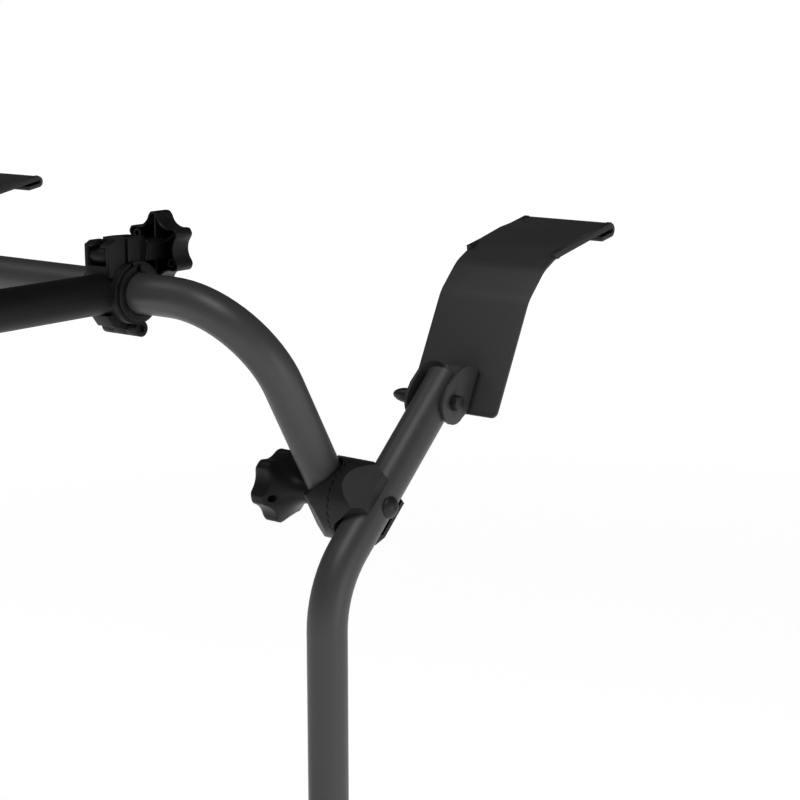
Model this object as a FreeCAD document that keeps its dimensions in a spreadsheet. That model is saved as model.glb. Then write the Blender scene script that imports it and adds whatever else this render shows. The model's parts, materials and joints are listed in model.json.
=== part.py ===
import FreeCAD, Part
import math
import os

import Sketcher
from FreeCAD import Placement, Rotation, Vector

# Driving dimensions in millimetres and degrees
SIZES = {
    # frame tubes
    "tube_dia": 35.0,
    "tube_wall": 2.0,
    "tube_fit": 0.05,
    "running_gap": 0.3,
    "half_track": 400.0,
    "hub_back": 275.0,
    "hub_drop": 210.5,
    "upright_tilt": 48.2,
    "upright_above_hub": 140.5,
    "upright_below_hub": 48.3,
    "upright_bend_radius": 88.0,
    "upright_vertical": 680.0,
    # tilting hoop
    "hoop_lean": 30.5,
    "hoop_rise": 210.6,
    "hoop_bend_radius": 84.5,
    "leg_below_hub": 20.0,
    # hinge hub
    "hub_pitch": 46.0,
    "drum_radius": 36.2,
    "saddle_lip": 11.5,
    "saddle_top_half": 18.5,
    "saddle_end_start": 4.0,
    "wide_wall_out": 23.6,
    "thin_wall_out": 20.5,
    "thin_wall": 4.0,
    "wall_slot_half": 21.0,
    "face_start": 7.5,
    "flare_out": 4.5,
    "flare_from": 15.0,
    "flare_length": 24.0,
    "tooth_count": 32.0,
    "tooth_gap": 1.3,
    "tooth_reach": 9.0,
    "tooth_depth": 1.5,
    "tooth_slant": 2.0,
    "saddle_washer_out": 13.0,
    "saddle_washer_lift": 2.6,
    "saddle_washer_deep": 5.0,
    # bolts
    "bolt_dia": 8.0,
    "bolt_fit": 0.08,
    "hex_flats": 12.4,
    "hex_height": 6.8,
    "dome_dia": 20.0,
    "dome_height": 6.0,
    "cap_nut_radius": 6.7,
    "cap_nut_length": 24.0,
    # hub knob
    "knob_lobes": 6.0,
    "hub_knob_radius": 33.0,
    "hub_knob_neck": 11.0,
    "hub_knob_length": 50.6,
    "hub_knob_rim_from": 34.0,
    "hub_knob_edge": 4.5,
    "hub_knob_scallop_at": 52.6,
    "hub_knob_scallop": 25.5,
    "knob_bore_depth": 34.0,
    # door hook
    "plate_width": 97.0,
    "plate_thick": 3.0,
    "hook_lean": 26.6,
    "hook_run_low": 105.3,
    "hook_run_mid": 22.2,
    "hook_run_slope": 18.1,
    "hook_run_liner": 7.2,
    "hook_run_top": 33.2,
    "hook_run_flat": 43.3,
    "hook_turn_low": 18.7,
    "hook_turn_mid": 18.6,
    "hook_turn_slope": 13.1,
    "hook_turn_top": 5.4,
    "hook_bend_radius": 40.0,
    "hook_curl_radius": 6.8,
    "hook_curl_turn": 178.0,
    "hook_lip_run": 17.0,
    "plate_back": 29.3,
    "plate_foot": 2.2,
    "plate_corner": 6.0,
    "liner_thick": 1.6,
    "liner_edge": 0.5,
    "rail_out": 0.9,
    "rail_lap": 4.4,
    "rail_height": 5.8,
    "rail_lift": 4.9,
    "rail_start_back": 8.5,
    "rail_trim": 5.0,
    # clevis
    "clevis_up": 116.5,
    "clevis_sheet": 3.0,
    "clevis_gap": 37.0,
    "clevis_bend": 8.0,
    "clevis_reach": 46.0,
    "ear_radius": 17.6,
    "ear_centre": 2.6,
    "ear_sink": 1.6,
    "ear_top": 39.2,
    "ear_low": 7.0,
    "ear_top_back": 15.0,
    "ear_crown_back": 6.5,
    "ear_crown_up": 36.2,
    "ear_neck_back": 0.0,
    "ear_neck_up": 32.6,
    "ear_shoulder_back": 6.0,
    "ear_shoulder_up": 26.0,
    "ear_corner_back": 13.2,
    "ear_corner_up": 10.4,
    # arm clamp
    "clamp_x": 208.0,
    "clamp_x_left": 150.0,
    "clamp_width": 42.4,
    "bush_wall": 3.4,
    "bush_rim": 24.5,
    "bush_rim_thick": 2.8,
    "bush_split": 5.0,
    "bush_split_back": 1.5,
    "jaw_radius": 27.0,
    "jaw_hinge_drop": 31.5,
    "jaw_hinge_forward": 3.0,
    "jaw_lug_radius": 7.0,
    "jaw_knuckle_half": 8.0,
    "jaw_pin_dia": 6.0,
    "jaw_pin_length": 44.0,
    "stud_rise": 32.4,
    "nut_back": 19.0,
    "nut_dia": 14.0,
    "nut_length": 21.6,
    "nut_room": 16.4,
    "tower_top": 46.0,
    "tower_rear_top": 42.0,
    "tower_foot": 15.0,
    "tower_back": 27.0,
    "tower_front_back": 8.0,
    "tower_width": 29.2,
    "tower_step_back": 10.0,
    "tower_slope_back": 21.0,
    "tower_step_up": 45.0,
    "tower_sink": 38.0,
    "tab_back": 18.5,
    "tab_top": 49.2,
    "tab_corner": 1.2,
    "stud_slot": 9.0,
    "front_plate_back": 5.0,
    "front_plate_step": 8.0,
    "front_plate_to": 22.0,
    "front_plate_width": 30.0,
    "front_boss_width": 19.0,
    "front_boss_foot": 19.0,
    "gusset_reach": 27.0,
    "gusset_drop": 33.5,
    "gusset_rear_drop": 28.5,
    "gusset_slope": 8.0,
    "gusset_width": 20.0,
    "washer_dia": 20.0,
    "washer_thick": 3.0,
    "stud_tail": 3.0,
    "clamp_knob_stem": 18.0,
    "clamp_knob_stem_length": 14.4,
    "clamp_knob_block": 16.5,
    "clamp_knob_radius": 32.3,
    "clamp_knob_thick": 22.0,
    "clamp_knob_edge": 3.0,
    "clamp_knob_hollow": 21.5,
    "clamp_knob_hollow_deep": 12.0,
    "clamp_knob_scallop_at": 41.4,
    "clamp_knob_scallop": 17.5,
    # bike arms and frame claws
    "arm_seat": 27.0,
    "arm_length_right": 400.0,
    "arm_length_left": 230.0,
    "spigot_length": 32.0,
    "claw_sleeve_length": 46.0,
    "claw_sleeve_wall": 5.0,
    "claw_width": 44.0,
    "claw_throat": 21.0,
    "claw_wall": 7.0,
    "claw_offset": 38.0,
    "claw_peg_dia": 7.0,
    # lower frame
    "tee_height": 90.0,
    "tee_wall": 5.5,
    "tee_drop": 870.0,
    "tee_reach": 62.0,
    "cap_thick": 4.0,
    "cap_plug": 18.0,
    "pad_drop": 720.0,
    "pad_sleeve": 44.0,
    "pad_stem_dia": 24.0,
    "pad_stem_reach": 46.0,
    "pad_width": 50.0,
    "pad_height": 74.0,
    "pad_depth": 26.0,
    "foot_plate": 6.0,
    "foot_width": 30.0,
    "foot_start": 925.0,
    "foot_run_down": 66.0,
    "foot_bend_radius": 20.0,
    "foot_run_forward": 34.0,
    "foot_run_up": 16.0,
    # folding platform
    "lug_gap": 16.0,
    "fold_back": 92.0,
    "lug_thick": 16.0,
    "lug_radius": 17.0,
    "lug_sleeve": 44.0,
    "fork_ear": 7.5,
    "fork_clear": 18.5,
    "fork_block": 24.0,
    "deck_dia": 30.0,
    "deck_run": 370.0,
    "deck_bend_radius": 80.0,
    "tray_length": 1180.0,
    "tray_floor": 46.0,
    "tray_spread": 16.0,
    "tray_height": 30.0,
    "tray_lip": 9.0,
    "tray_wall": 2.2,
    "tray_first": 120.0,
    "tray_pitch": 215.0,
    "trim_thick": 4.0,
    "trim_over": 1.5,
    "cradle_length": 44.0,
    "cradle_width": 60.0,
    "cradle_rise": 23.0,
    "strap_width": 25.0,
    "strap_thick": 2.5,
    "strap_at": 455.0,
    "strap_side": 58.0,
    "strap_bend": 42.0,
    "strap_start": 24.0,
    "buckle_height": 46.0,
    "buckle_thick": 12.0,
    "buckle_width": 31.0,
}

doc = FreeCAD.newDocument("rear_door_bike_carrier")
sheet = doc.addObject("Spreadsheet::Sheet", "dims")
for row, (alias, value) in enumerate(SIZES.items(), start=1):
    sheet.set("A%d" % row, alias)
    sheet.set("B%d" % row, "%g" % value)
    sheet.setAlias("B%d" % row, alias)
doc.recompute()


def size(alias):
    """Value of one driving dimension as the sheet holds it."""
    return float(getattr(sheet, alias))


def formula(text):
    """Expression in which every dimension's word points at its cell."""
    words = text.replace("(", " ( ").replace(")", " ) ").split()
    return " ".join("dims." + word if word in SIZES else word for word in words)


def bind(item, prop, text):
    """Tie a property to the sheet."""
    item.setExpression(prop, formula(text))


def place(x=0.0, y=0.0, z=0.0, turn=None):
    """Placement from three coordinates and a turn."""
    return Placement(Vector(x, y, z), turn or Rotation())


def frame(origin, x_dir, z_dir):
    """Placement whose own X and Z run along two given directions."""
    z_axis = Vector(z_dir).normalize()
    y_axis = z_axis.cross(Vector(x_dir)).normalize()
    return Placement(Vector(origin), Rotation(y_axis.cross(z_axis), y_axis, z_axis, "ZXY"))


ALONG_X = Rotation(Vector(0, 1, 0), 90)
ALONG_Y = Rotation(Vector(1, 0, 0), -90)
SIDE_ON = Rotation(Vector(0, 1, 0), Vector(0, 0, 1), Vector(1, 0, 0), "XYZ")
END_ON = Rotation(Vector(1, 0, 0), 90)

counter = {"made": 0}
pieces = []


def add(kind, name):
    """New document object with a name of its own."""
    counter["made"] += 1
    return doc.addObject(kind, "%s_%d" % (name, counter["made"]))


def cylinder(radius, height, where=None):
    """Cylinder along its own Z, centred on its origin."""
    item = add("Part::Cylinder", "round")
    bind(item, "Radius", radius)
    bind(item, "Height", height)
    middle = Placement(Vector(0, 0, -length_of(item, "Height") / 2), Rotation())
    item.Placement = (where or place()).multiply(middle)
    return item


def length_of(item, prop):
    """Number a bound length has after a recompute of that object."""
    item.recompute()
    return float(getattr(item, prop).Value)


def box(length, width, height, where=None):
    """Box centred on its origin."""
    item = add("Part::Box", "block")
    bind(item, "Length", length)
    bind(item, "Width", width)
    bind(item, "Height", height)
    half = [-length_of(item, prop) / 2 for prop in ("Length", "Width", "Height")]
    item.Placement = (where or place()).multiply(Placement(Vector(*half), Rotation()))
    return item


def cone(radius_low, radius_high, height, where=None):
    """Cone along its own Z from its origin."""
    item = add("Part::Cone", "taper")
    bind(item, "Radius1", radius_low)
    bind(item, "Radius2", radius_high)
    bind(item, "Height", height)
    item.Placement = where or place()
    return item


def ball(radius, where=None):
    """Sphere about its origin."""
    item = add("Part::Sphere", "ball")
    bind(item, "Radius", radius)
    item.Placement = where or place()
    return item


def hexagon(flats, height, where=None):
    """Six sided prism along its own Z from its origin."""
    item = add("Part::Prism", "hexagon")
    item.Polygon = 6
    bind(item, "Circumradius", flats + " * 0.57735")
    bind(item, "Height", height)
    item.Placement = where or place()
    return item


def fuse(*items):
    """Union of several shapes."""
    item = add("Part::MultiFuse", "union")
    item.Shapes = list(items)
    return item


def common(*items):
    """Intersection of several shapes."""
    item = add("Part::MultiCommon", "overlap")
    item.Shapes = list(items)
    return item


def cut(base, *tools):
    """Base less all the tools."""
    item = add("Part::Cut", "cut")
    item.Base = base
    item.Tool = tools[0] if len(tools) == 1 else fuse(*tools)
    return item


def group(*items):
    """Identical solids that share one node."""
    item = add("Part::Compound", "group")
    item.Links = list(items)
    return item


def piece(node, item, where=None):
    """Name a finished piece and set where it stands."""
    if where:
        item.Placement = where.multiply(item.Placement)
    item.Label = node.replace("_", " ")
    pieces.append((node, item))


def sketch_on(body, role):
    """Empty sketch on one of the body's own origin planes."""
    sketch = add("Sketcher::SketchObject", "sketch")
    body.addObject(sketch)
    plane = [item for item in body.Origin.OriginFeatures if item.Role == role][0]
    sketch.AttachmentSupport = [(plane, "")]
    sketch.MapMode = "FlatFace"
    return sketch


def tie(sketch, constraint, text):
    """Add one constraint and bind its value to the sheet."""
    index = sketch.addConstraint(constraint)
    bind(sketch, "Constraints[%d]" % index, text)


def draw_polygon(sketch, corners):
    """Closed outline whose corners are all dimensioned from the origin."""
    count = len(corners)
    guess = []
    for index in range(count):
        angle = 2 * math.pi * index / count
        guess.append(Vector(50 * math.cos(angle), 50 * math.sin(angle), 0))
    for index in range(count):
        sketch.addGeometry(Part.LineSegment(guess[index], guess[(index + 1) % count]), False)
    for index in range(count):
        sketch.addConstraint(Sketcher.Constraint("Coincident", index, 2, (index + 1) % count, 1))
    for index, (across, up) in enumerate(corners):
        start = guess[index]
        tie(sketch, Sketcher.Constraint("DistanceX", -1, 1, index, 1, start.x), across)
        tie(sketch, Sketcher.Constraint("DistanceY", -1, 1, index, 1, start.y), up)


def total(aliases):
    """Sum of several dimensions as a number."""
    return sum(size(alias) for alias in aliases)


def draw_path(sketch, steps):
    """Chain of straight runs and bends from the origin, first heading up the sketch."""
    point = Vector(0, 0, 0)
    heading = math.pi / 2
    last = None
    for kind, *sizes in steps:
        if kind == "run":
            length = total(sizes[0])
            end = point + Vector(math.cos(heading), math.sin(heading), 0) * length
            index = sketch.addGeometry(Part.LineSegment(point, end), False)
            tie(sketch, Sketcher.Constraint("Distance", index, length), " + ".join(sizes[0]))
            ends = (1, 2)
            point = end
        else:
            radius = total(sizes[0])
            turn = math.radians(size(sizes[1]) if sizes[1] in SIZES else float(sizes[1]))
            side = Vector(math.sin(heading), -math.cos(heading), 0)
            centre = point + side * radius
            circle = Part.Circle(centre, Vector(0, 0, 1), radius)
            begin = heading + math.pi / 2
            index = sketch.addGeometry(Part.ArcOfCircle(circle, begin - turn, begin), False)
            tie(sketch, Sketcher.Constraint("Radius", index, radius), " + ".join(sizes[0]))
            tie(sketch, Sketcher.Constraint("Angle", index, turn), sizes[1] + " * 1 deg")
            ends = (2, 1)
            heading -= turn
            point = centre - Vector(math.sin(heading), -math.cos(heading), 0) * radius
        if last is None:
            sketch.addConstraint(Sketcher.Constraint("Coincident", index, 1, -1, 1))
            sketch.addConstraint(Sketcher.Constraint("Vertical", index))
        else:
            sketch.addConstraint(Sketcher.Constraint("Tangent", last[0], last[1], index, ends[0]))
        last = (index, ends[1])
    return point, heading


def sweep(name, steps, draw_profile):
    """Body made by carrying a profile along a bent path in its own XZ plane."""
    body = add("PartDesign::Body", name)
    path = sketch_on(body, "XZ_Plane")
    draw_path(path, steps)
    profile = sketch_on(body, "XY_Plane")
    draw_profile(profile)
    doc.recompute()
    pipe = add("PartDesign::AdditivePipe", "pipe")
    body.addObject(pipe)
    pipe.Profile = profile
    pipe.Spine = (path, ["Edge%d" % (index + 1) for index in range(len(steps))])
    body.Tip = pipe
    return body


def ring_profile(dia, wall):
    """Profile of a round tube."""
    def draw(sketch):
        for index, text in enumerate((dia + " / 2", dia + " / 2 - " + wall)):
            circle = Part.Circle(Vector(0, 0, 0), Vector(0, 0, 1), 20 - 5 * index)
            sketch.addGeometry(circle, False)
            sketch.addConstraint(Sketcher.Constraint("Coincident", index, 3, -1, 1))
            tie(sketch, Sketcher.Constraint("Radius", index, 20 - 5 * index), text)
    return draw


def outline_profile(corners):
    """Profile drawn as a closed outline."""
    def draw(sketch):
        draw_polygon(sketch, corners)
    return draw


def slab(corners, thick, where=None):
    """Outline padded evenly to both sides of its plane."""
    body = add("PartDesign::Body", "slab")
    outline = sketch_on(body, "XY_Plane")
    draw_polygon(outline, corners)
    pad = add("PartDesign::Pad", "pad")
    body.addObject(pad)
    pad.Profile = outline
    bind(pad, "Length", thick)
    pad.SideType = "Symmetric"
    body.Tip = pad
    if where:
        body.Placement = where
    return body


def straight_tube(dia, wall, length, where):
    """Straight tube centred on its origin."""
    return cut(
        cylinder(dia + " / 2", length, where),
        cylinder(dia + " / 2 - " + wall, length + " + 2", where),
    )


def turned(profile):
    """Body turned from an outline about its own Z."""
    body = add("PartDesign::Body", "turned")
    outline = sketch_on(body, "XZ_Plane")
    draw_polygon(outline, profile)
    revolution = add("PartDesign::Revolution", "revolution")
    body.addObject(revolution)
    revolution.Profile = outline
    revolution.ReferenceAxis = (outline, ["V_Axis"])
    revolution.Angle = 360
    body.Tip = revolution
    return body


def lobed_knob(profile, scallop_at, scallop, through):
    """Turned handle with finger hollows cut round it."""
    body = turned(profile)
    hollow = sketch_on(body, "XY_Plane")
    start = Part.Circle(Vector(40, 0, 0), Vector(0, 0, 1), 10)
    hollow.addGeometry(start, False)
    tie(hollow, Sketcher.Constraint("DistanceX", -1, 1, 0, 3, 40), scallop_at)
    hollow.addConstraint(Sketcher.Constraint("PointOnObject", 0, 3, -1))
    tie(hollow, Sketcher.Constraint("Radius", 0, 10), scallop)
    pocket = add("PartDesign::Pocket", "hollow")
    body.addObject(pocket)
    pocket.Profile = hollow
    pocket.Reversed = True
    bind(pocket, "Length", through)
    around = add("PartDesign::PolarPattern", "around")
    body.addObject(around)
    around.Originals = [pocket]
    around.Axis = (hollow, ["N_Axis"])
    around.Angle = 360
    bind(around, "Occurrences", "knob_lobes")
    body.Tip = around
    return body


tilt = math.radians(size("upright_tilt"))
lean = math.radians(size("hoop_lean"))
hook_lean = math.radians(size("hook_lean"))
UP_TUBE = Vector(0, math.sin(tilt), math.cos(tilt))
UP_LEG = Vector(0, -math.sin(lean), math.cos(lean))
UP_PLATE = Vector(0, math.sin(hook_lean), math.cos(hook_lean))
TO_PLATE = Vector(0, math.cos(hook_lean), -math.sin(hook_lean))
X_DIR = Vector(1, 0, 0)
HUB = Vector(0, -size("hub_back"), -size("hub_drop"))
TUBE_TOP = HUB + UP_TUBE * size("upright_above_hub")
HOOK_AXIS = HUB + UP_TUBE * size("clevis_up")
BAR = HUB + UP_LEG * size("hoop_rise")
bend_start = HUB - UP_TUBE * size("upright_below_hub")
bend_side = Vector(0, math.cos(tilt), -math.sin(tilt))
bend_centre = bend_start + bend_side * size("upright_bend_radius")
BACK_Y = bend_centre.y - size("upright_bend_radius")
TUBE_END_Z = bend_centre.z - size("upright_vertical")
SIDES = (("right", 1), ("left", -1))

HOLE = "bolt_dia / 2 + bolt_fit"
SOCKET = "tube_dia / 2 + tube_fit"


def upright(node, side):
    """Bent side tube with its two cross holes."""
    steps = [
        ("run", ["upright_above_hub", "upright_below_hub"]),
        ("turn", ["upright_bend_radius"], "upright_tilt"),
        ("run", ["upright_vertical"]),
    ]
    body = sweep("upright", steps, ring_profile("tube_dia", "tube_wall"))
    hub_at = size("upright_above_hub")
    hook_at = hub_at - size("clevis_up")
    holes = [cylinder(HOLE, "tube_dia + 4", place(0, 0, z, ALONG_Y)) for z in (hub_at, hook_at)]
    where = frame(TUBE_TOP + X_DIR * side * size("half_track"), bend_side, -UP_TUBE)
    piece(node, cut(body, *holes), where)


def hub_half(where, flare_sign):
    """Toothed drum half with an open saddle for a tube."""
    drum = add("PartDesign::Body", "drum")
    rim = sketch_on(drum, "XY_Plane")
    rim.addGeometry(Part.Circle(Vector(0, 0, 0), Vector(0, 0, 1), 36), False)
    rim.addConstraint(Sketcher.Constraint("Coincident", 0, 3, -1, 1))
    tie(rim, Sketcher.Constraint("Radius", 0, 36), "drum_radius")
    pad = add("PartDesign::Pad", "drum_pad")
    drum.addObject(pad)
    pad.Profile = rim
    bind(pad, "Length", "hub_pitch / 2 + saddle_lip - running_gap / 2")
    notch = sketch_on(drum, "YZ_Plane")
    bind(notch, "AttachmentOffset.Base.z", "drum_radius - tooth_reach")
    draw_polygon(notch, [
        ("0 - tooth_gap / 2", "0"),
        ("tooth_gap / 2", "0"),
        ("tooth_gap / 2 + tooth_slant", "tooth_depth"),
        ("tooth_slant - tooth_gap / 2", "tooth_depth"),
    ])
    pocket = add("PartDesign::Pocket", "tooth_gap")
    drum.addObject(pocket)
    pocket.Profile = notch
    pocket.Reversed = True
    bind(pocket, "Length", "tooth_reach + 1")
    around = add("PartDesign::PolarPattern", "teeth")
    drum.addObject(around)
    around.Originals = [pocket]
    turn_axis = [item for item in drum.Origin.OriginFeatures if item.Role == "Z_Axis"][0]
    around.Axis = (turn_axis, [""])
    around.Angle = 360
    bind(around, "Occurrences", "tooth_count")
    drum.Tip = around
    drum.Placement = place(0, 0, size("running_gap") / 2)
    top = "hub_pitch / 2 + saddle_lip"
    across = slab([
        ("0 - drum_radius - 1", "0"),
        ("drum_radius + 1", "0"),
        ("drum_radius + 1", "face_start"),
        ("thin_wall_out", top),
        ("0 - wide_wall_out", top),
        ("0 - drum_radius - 1", "face_start"),
    ], "3 * drum_radius", place(turn=END_ON))
    along = slab([
        ("0 - drum_radius - 1", "0"),
        ("drum_radius + 1", "0"),
        ("drum_radius + 1", "saddle_end_start"),
        ("saddle_top_half", top),
        ("0 - saddle_top_half", top),
        ("0 - drum_radius - 1", "saddle_end_start"),
    ], "3 * drum_radius", place(turn=SIDE_ON))
    axis_at = size("hub_pitch") / 2
    slot_x = size("thin_wall_out") - size("thin_wall") - 2.5
    flare_turn = ALONG_Y if flare_sign > 0 else Rotation(Vector(1, 0, 0), 90)
    item = cut(
        common(drum, across, along),
        cylinder(SOCKET, "3 * drum_radius", place(0, 0, axis_at, ALONG_Y)),
        box("5", "2 * wall_slot_half", "saddle_lip", place(slot_x, 0, axis_at + size("saddle_lip") / 2 + 3)),
        cone("tube_dia / 2", "tube_dia / 2 + flare_out", "flare_length",
             place(0, flare_sign * size("flare_from"), axis_at, flare_turn)),
        cylinder(HOLE, "3 * hub_pitch"),
    )
    item.Placement = where
    return item


def hub(name, side):
    """Both halves of one hinge hub, its bolt stack left out."""
    joint_x = side * (size("half_track") - size("hub_pitch") / 2)
    origin = HUB + X_DIR * joint_x
    out = X_DIR * side
    outer = hub_half(frame(origin, (UP_TUBE * side).cross(out), out), -side)
    piece("hub_outer_half_" + name, outer)
    inner = hub_half(frame(origin, (UP_LEG * side).cross(-out), -out), side)
    piece("hub_inner_half_" + name, inner)


def pivot_bolt(side):
    """Mushroom headed bolt through the hub."""
    out_face = size("half_track") + size("tube_dia") / 2
    reach = size("hub_pitch") + size("tube_dia") + size("saddle_washer_lift") + size("knob_bore_depth") - 2
    head = common(
        ball("( dome_dia * dome_dia / 4 + dome_height * dome_height ) / ( 2 * dome_height )",
             place(0, 0, size("dome_height") - dome_radius())),
        cylinder("dome_dia / 2", "2 * dome_height", place(0, 0, size("dome_height"))),
    )
    shank = cylinder("bolt_dia / 2", "hub_pitch + tube_dia + saddle_washer_lift + knob_bore_depth",
                     place(0, 0, -reach / 2))
    item = fuse(head, shank)
    item.Placement = frame(HUB + X_DIR * side * out_face, Vector(0, 1, 0), X_DIR * side)
    return item


def dome_radius():
    """Radius of the pivot bolt's domed head."""
    half = size("dome_dia") / 2
    height = size("dome_height")
    return (half * half + height * height) / (2 * height)


def saddle_washer(side):
    """Dished spacer between the hoop leg and the knob."""
    leg_x = size("half_track") - size("hub_pitch")
    face = leg_x - size("tube_dia") / 2 - size("saddle_washer_lift")
    thick = size("saddle_washer_deep") + size("saddle_washer_lift")
    disc = cylinder("saddle_washer_out", "saddle_washer_deep + saddle_washer_lift", place(0, 0, thick / 2))
    leg = cylinder(SOCKET, "100", place(0, 0, size("tube_dia") / 2 + size("saddle_washer_lift"), ALONG_Y))
    item = cut(disc, leg, cylinder(HOLE, "100"))
    item.Placement = frame(HUB + X_DIR * side * face, (UP_LEG * side).cross(X_DIR * side), X_DIR * side)
    return item


def hub_knob(side):
    """Long five lobed handle of the hub."""
    profile = [
        ("0", "0"),
        ("hub_knob_neck", "0"),
        ("hub_knob_neck + 0.6", "hub_knob_rim_from * 0.28"),
        ("hub_knob_neck + 3.2", "hub_knob_rim_from * 0.52"),
        ("hub_knob_neck + 9.5", "hub_knob_rim_from * 0.76"),
        ("hub_knob_radius - 1.2", "hub_knob_rim_from * 0.98"),
        ("hub_knob_radius", "hub_knob_rim_from + 2"),
        ("hub_knob_radius", "hub_knob_length - hub_knob_edge"),
        ("hub_knob_radius - hub_knob_edge", "hub_knob_length - 0.8"),
        ("0", "hub_knob_length"),
    ]
    body = lobed_knob(profile, "hub_knob_scallop_at", "hub_knob_scallop", "hub_knob_length + 2")
    bore = cylinder(HOLE, "knob_bore_depth", place(0, 0, size("knob_bore_depth") / 2 - 0.01))
    leg_x = size("half_track") - size("hub_pitch")
    seat = leg_x - size("tube_dia") / 2 - size("saddle_washer_lift") - size("running_gap")
    return cut(body, bore), frame(HUB + X_DIR * side * seat, UP_TUBE, -X_DIR * side)


def hoop(node):
    """Bent hoop with its two leg holes."""
    steps = [
        ("run", ["hoop_leg_run"]),
        ("turn", ["hoop_bend_radius"], "90"),
        ("run", ["hoop_span"]),
        ("turn", ["hoop_bend_radius"], "90"),
        ("run", ["hoop_leg_run"]),
    ]
    body = sweep("hoop", steps, ring_profile("tube_dia", "tube_wall"))
    reach = "2 * half_track"
    leg = size("half_track") - size("hub_pitch")
    bore = cylinder(HOLE, reach, place(leg, 0, size("leg_below_hub"), ALONG_X))
    origin = HUB - UP_LEG * size("leg_below_hub") + X_DIR * (size("half_track") - size("hub_pitch"))
    piece(node, cut(body, bore), frame(origin, -X_DIR, UP_LEG))


HOOK_LINER_STEPS = [
    ("run", ["hook_run_liner"]),
    ("turn", ["hook_bend_radius"], "hook_turn_slope"),
    ("run", ["hook_run_top"]),
    ("turn", ["hook_bend_radius"], "hook_turn_top"),
    ("run", ["hook_run_flat"]),
    ("turn", ["hook_curl_radius"], "hook_curl_turn"),
    ("run", ["hook_lip_run"]),
]
HOOK_PLATE_STEPS = [
    ("run", ["hook_run_low"]),
    ("turn", ["hook_bend_radius"], "hook_turn_low"),
    ("run", ["hook_run_mid"]),
    ("turn", ["hook_bend_radius"], "hook_turn_mid"),
    ("run", ["hook_run_slope", "hook_run_liner"]),
] + HOOK_LINER_STEPS[1:]


def ahead_at(heading):
    """Direction along the plate at one heading."""
    return Vector(0, math.sin(heading), math.cos(heading))


def inward_at(heading):
    """Direction through the plate's thickness at one heading."""
    return Vector(0, math.cos(heading), -math.sin(heading))


def walk(point, heading, steps):
    """Point and heading reached along the plate's outer face."""
    for kind, *sizes in steps:
        ahead = ahead_at(heading)
        inward = inward_at(heading)
        if kind == "run":
            point = point + ahead * total(sizes[0])
        else:
            radius = total(sizes[0])
            turn = math.radians(size(sizes[1]))
            point = point + inward * radius * (1 - math.cos(turn)) + ahead * radius * math.sin(turn)
            heading += turn
    return point, heading


def plate_corner(end):
    """Waste outside one rounded lower corner of the hook plate."""
    radius = size("plate_corner")
    edge = end * size("plate_width") / 2
    return cut(
        box("3 * plate_thick", "plate_corner + 1", "plate_corner + 1",
            place(0, edge + end * (1 - radius) / 2, (radius - 1) / 2)),
        cylinder("plate_corner", "4 * plate_thick", place(0, edge - end * radius, radius, ALONG_X)),
    )


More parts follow.
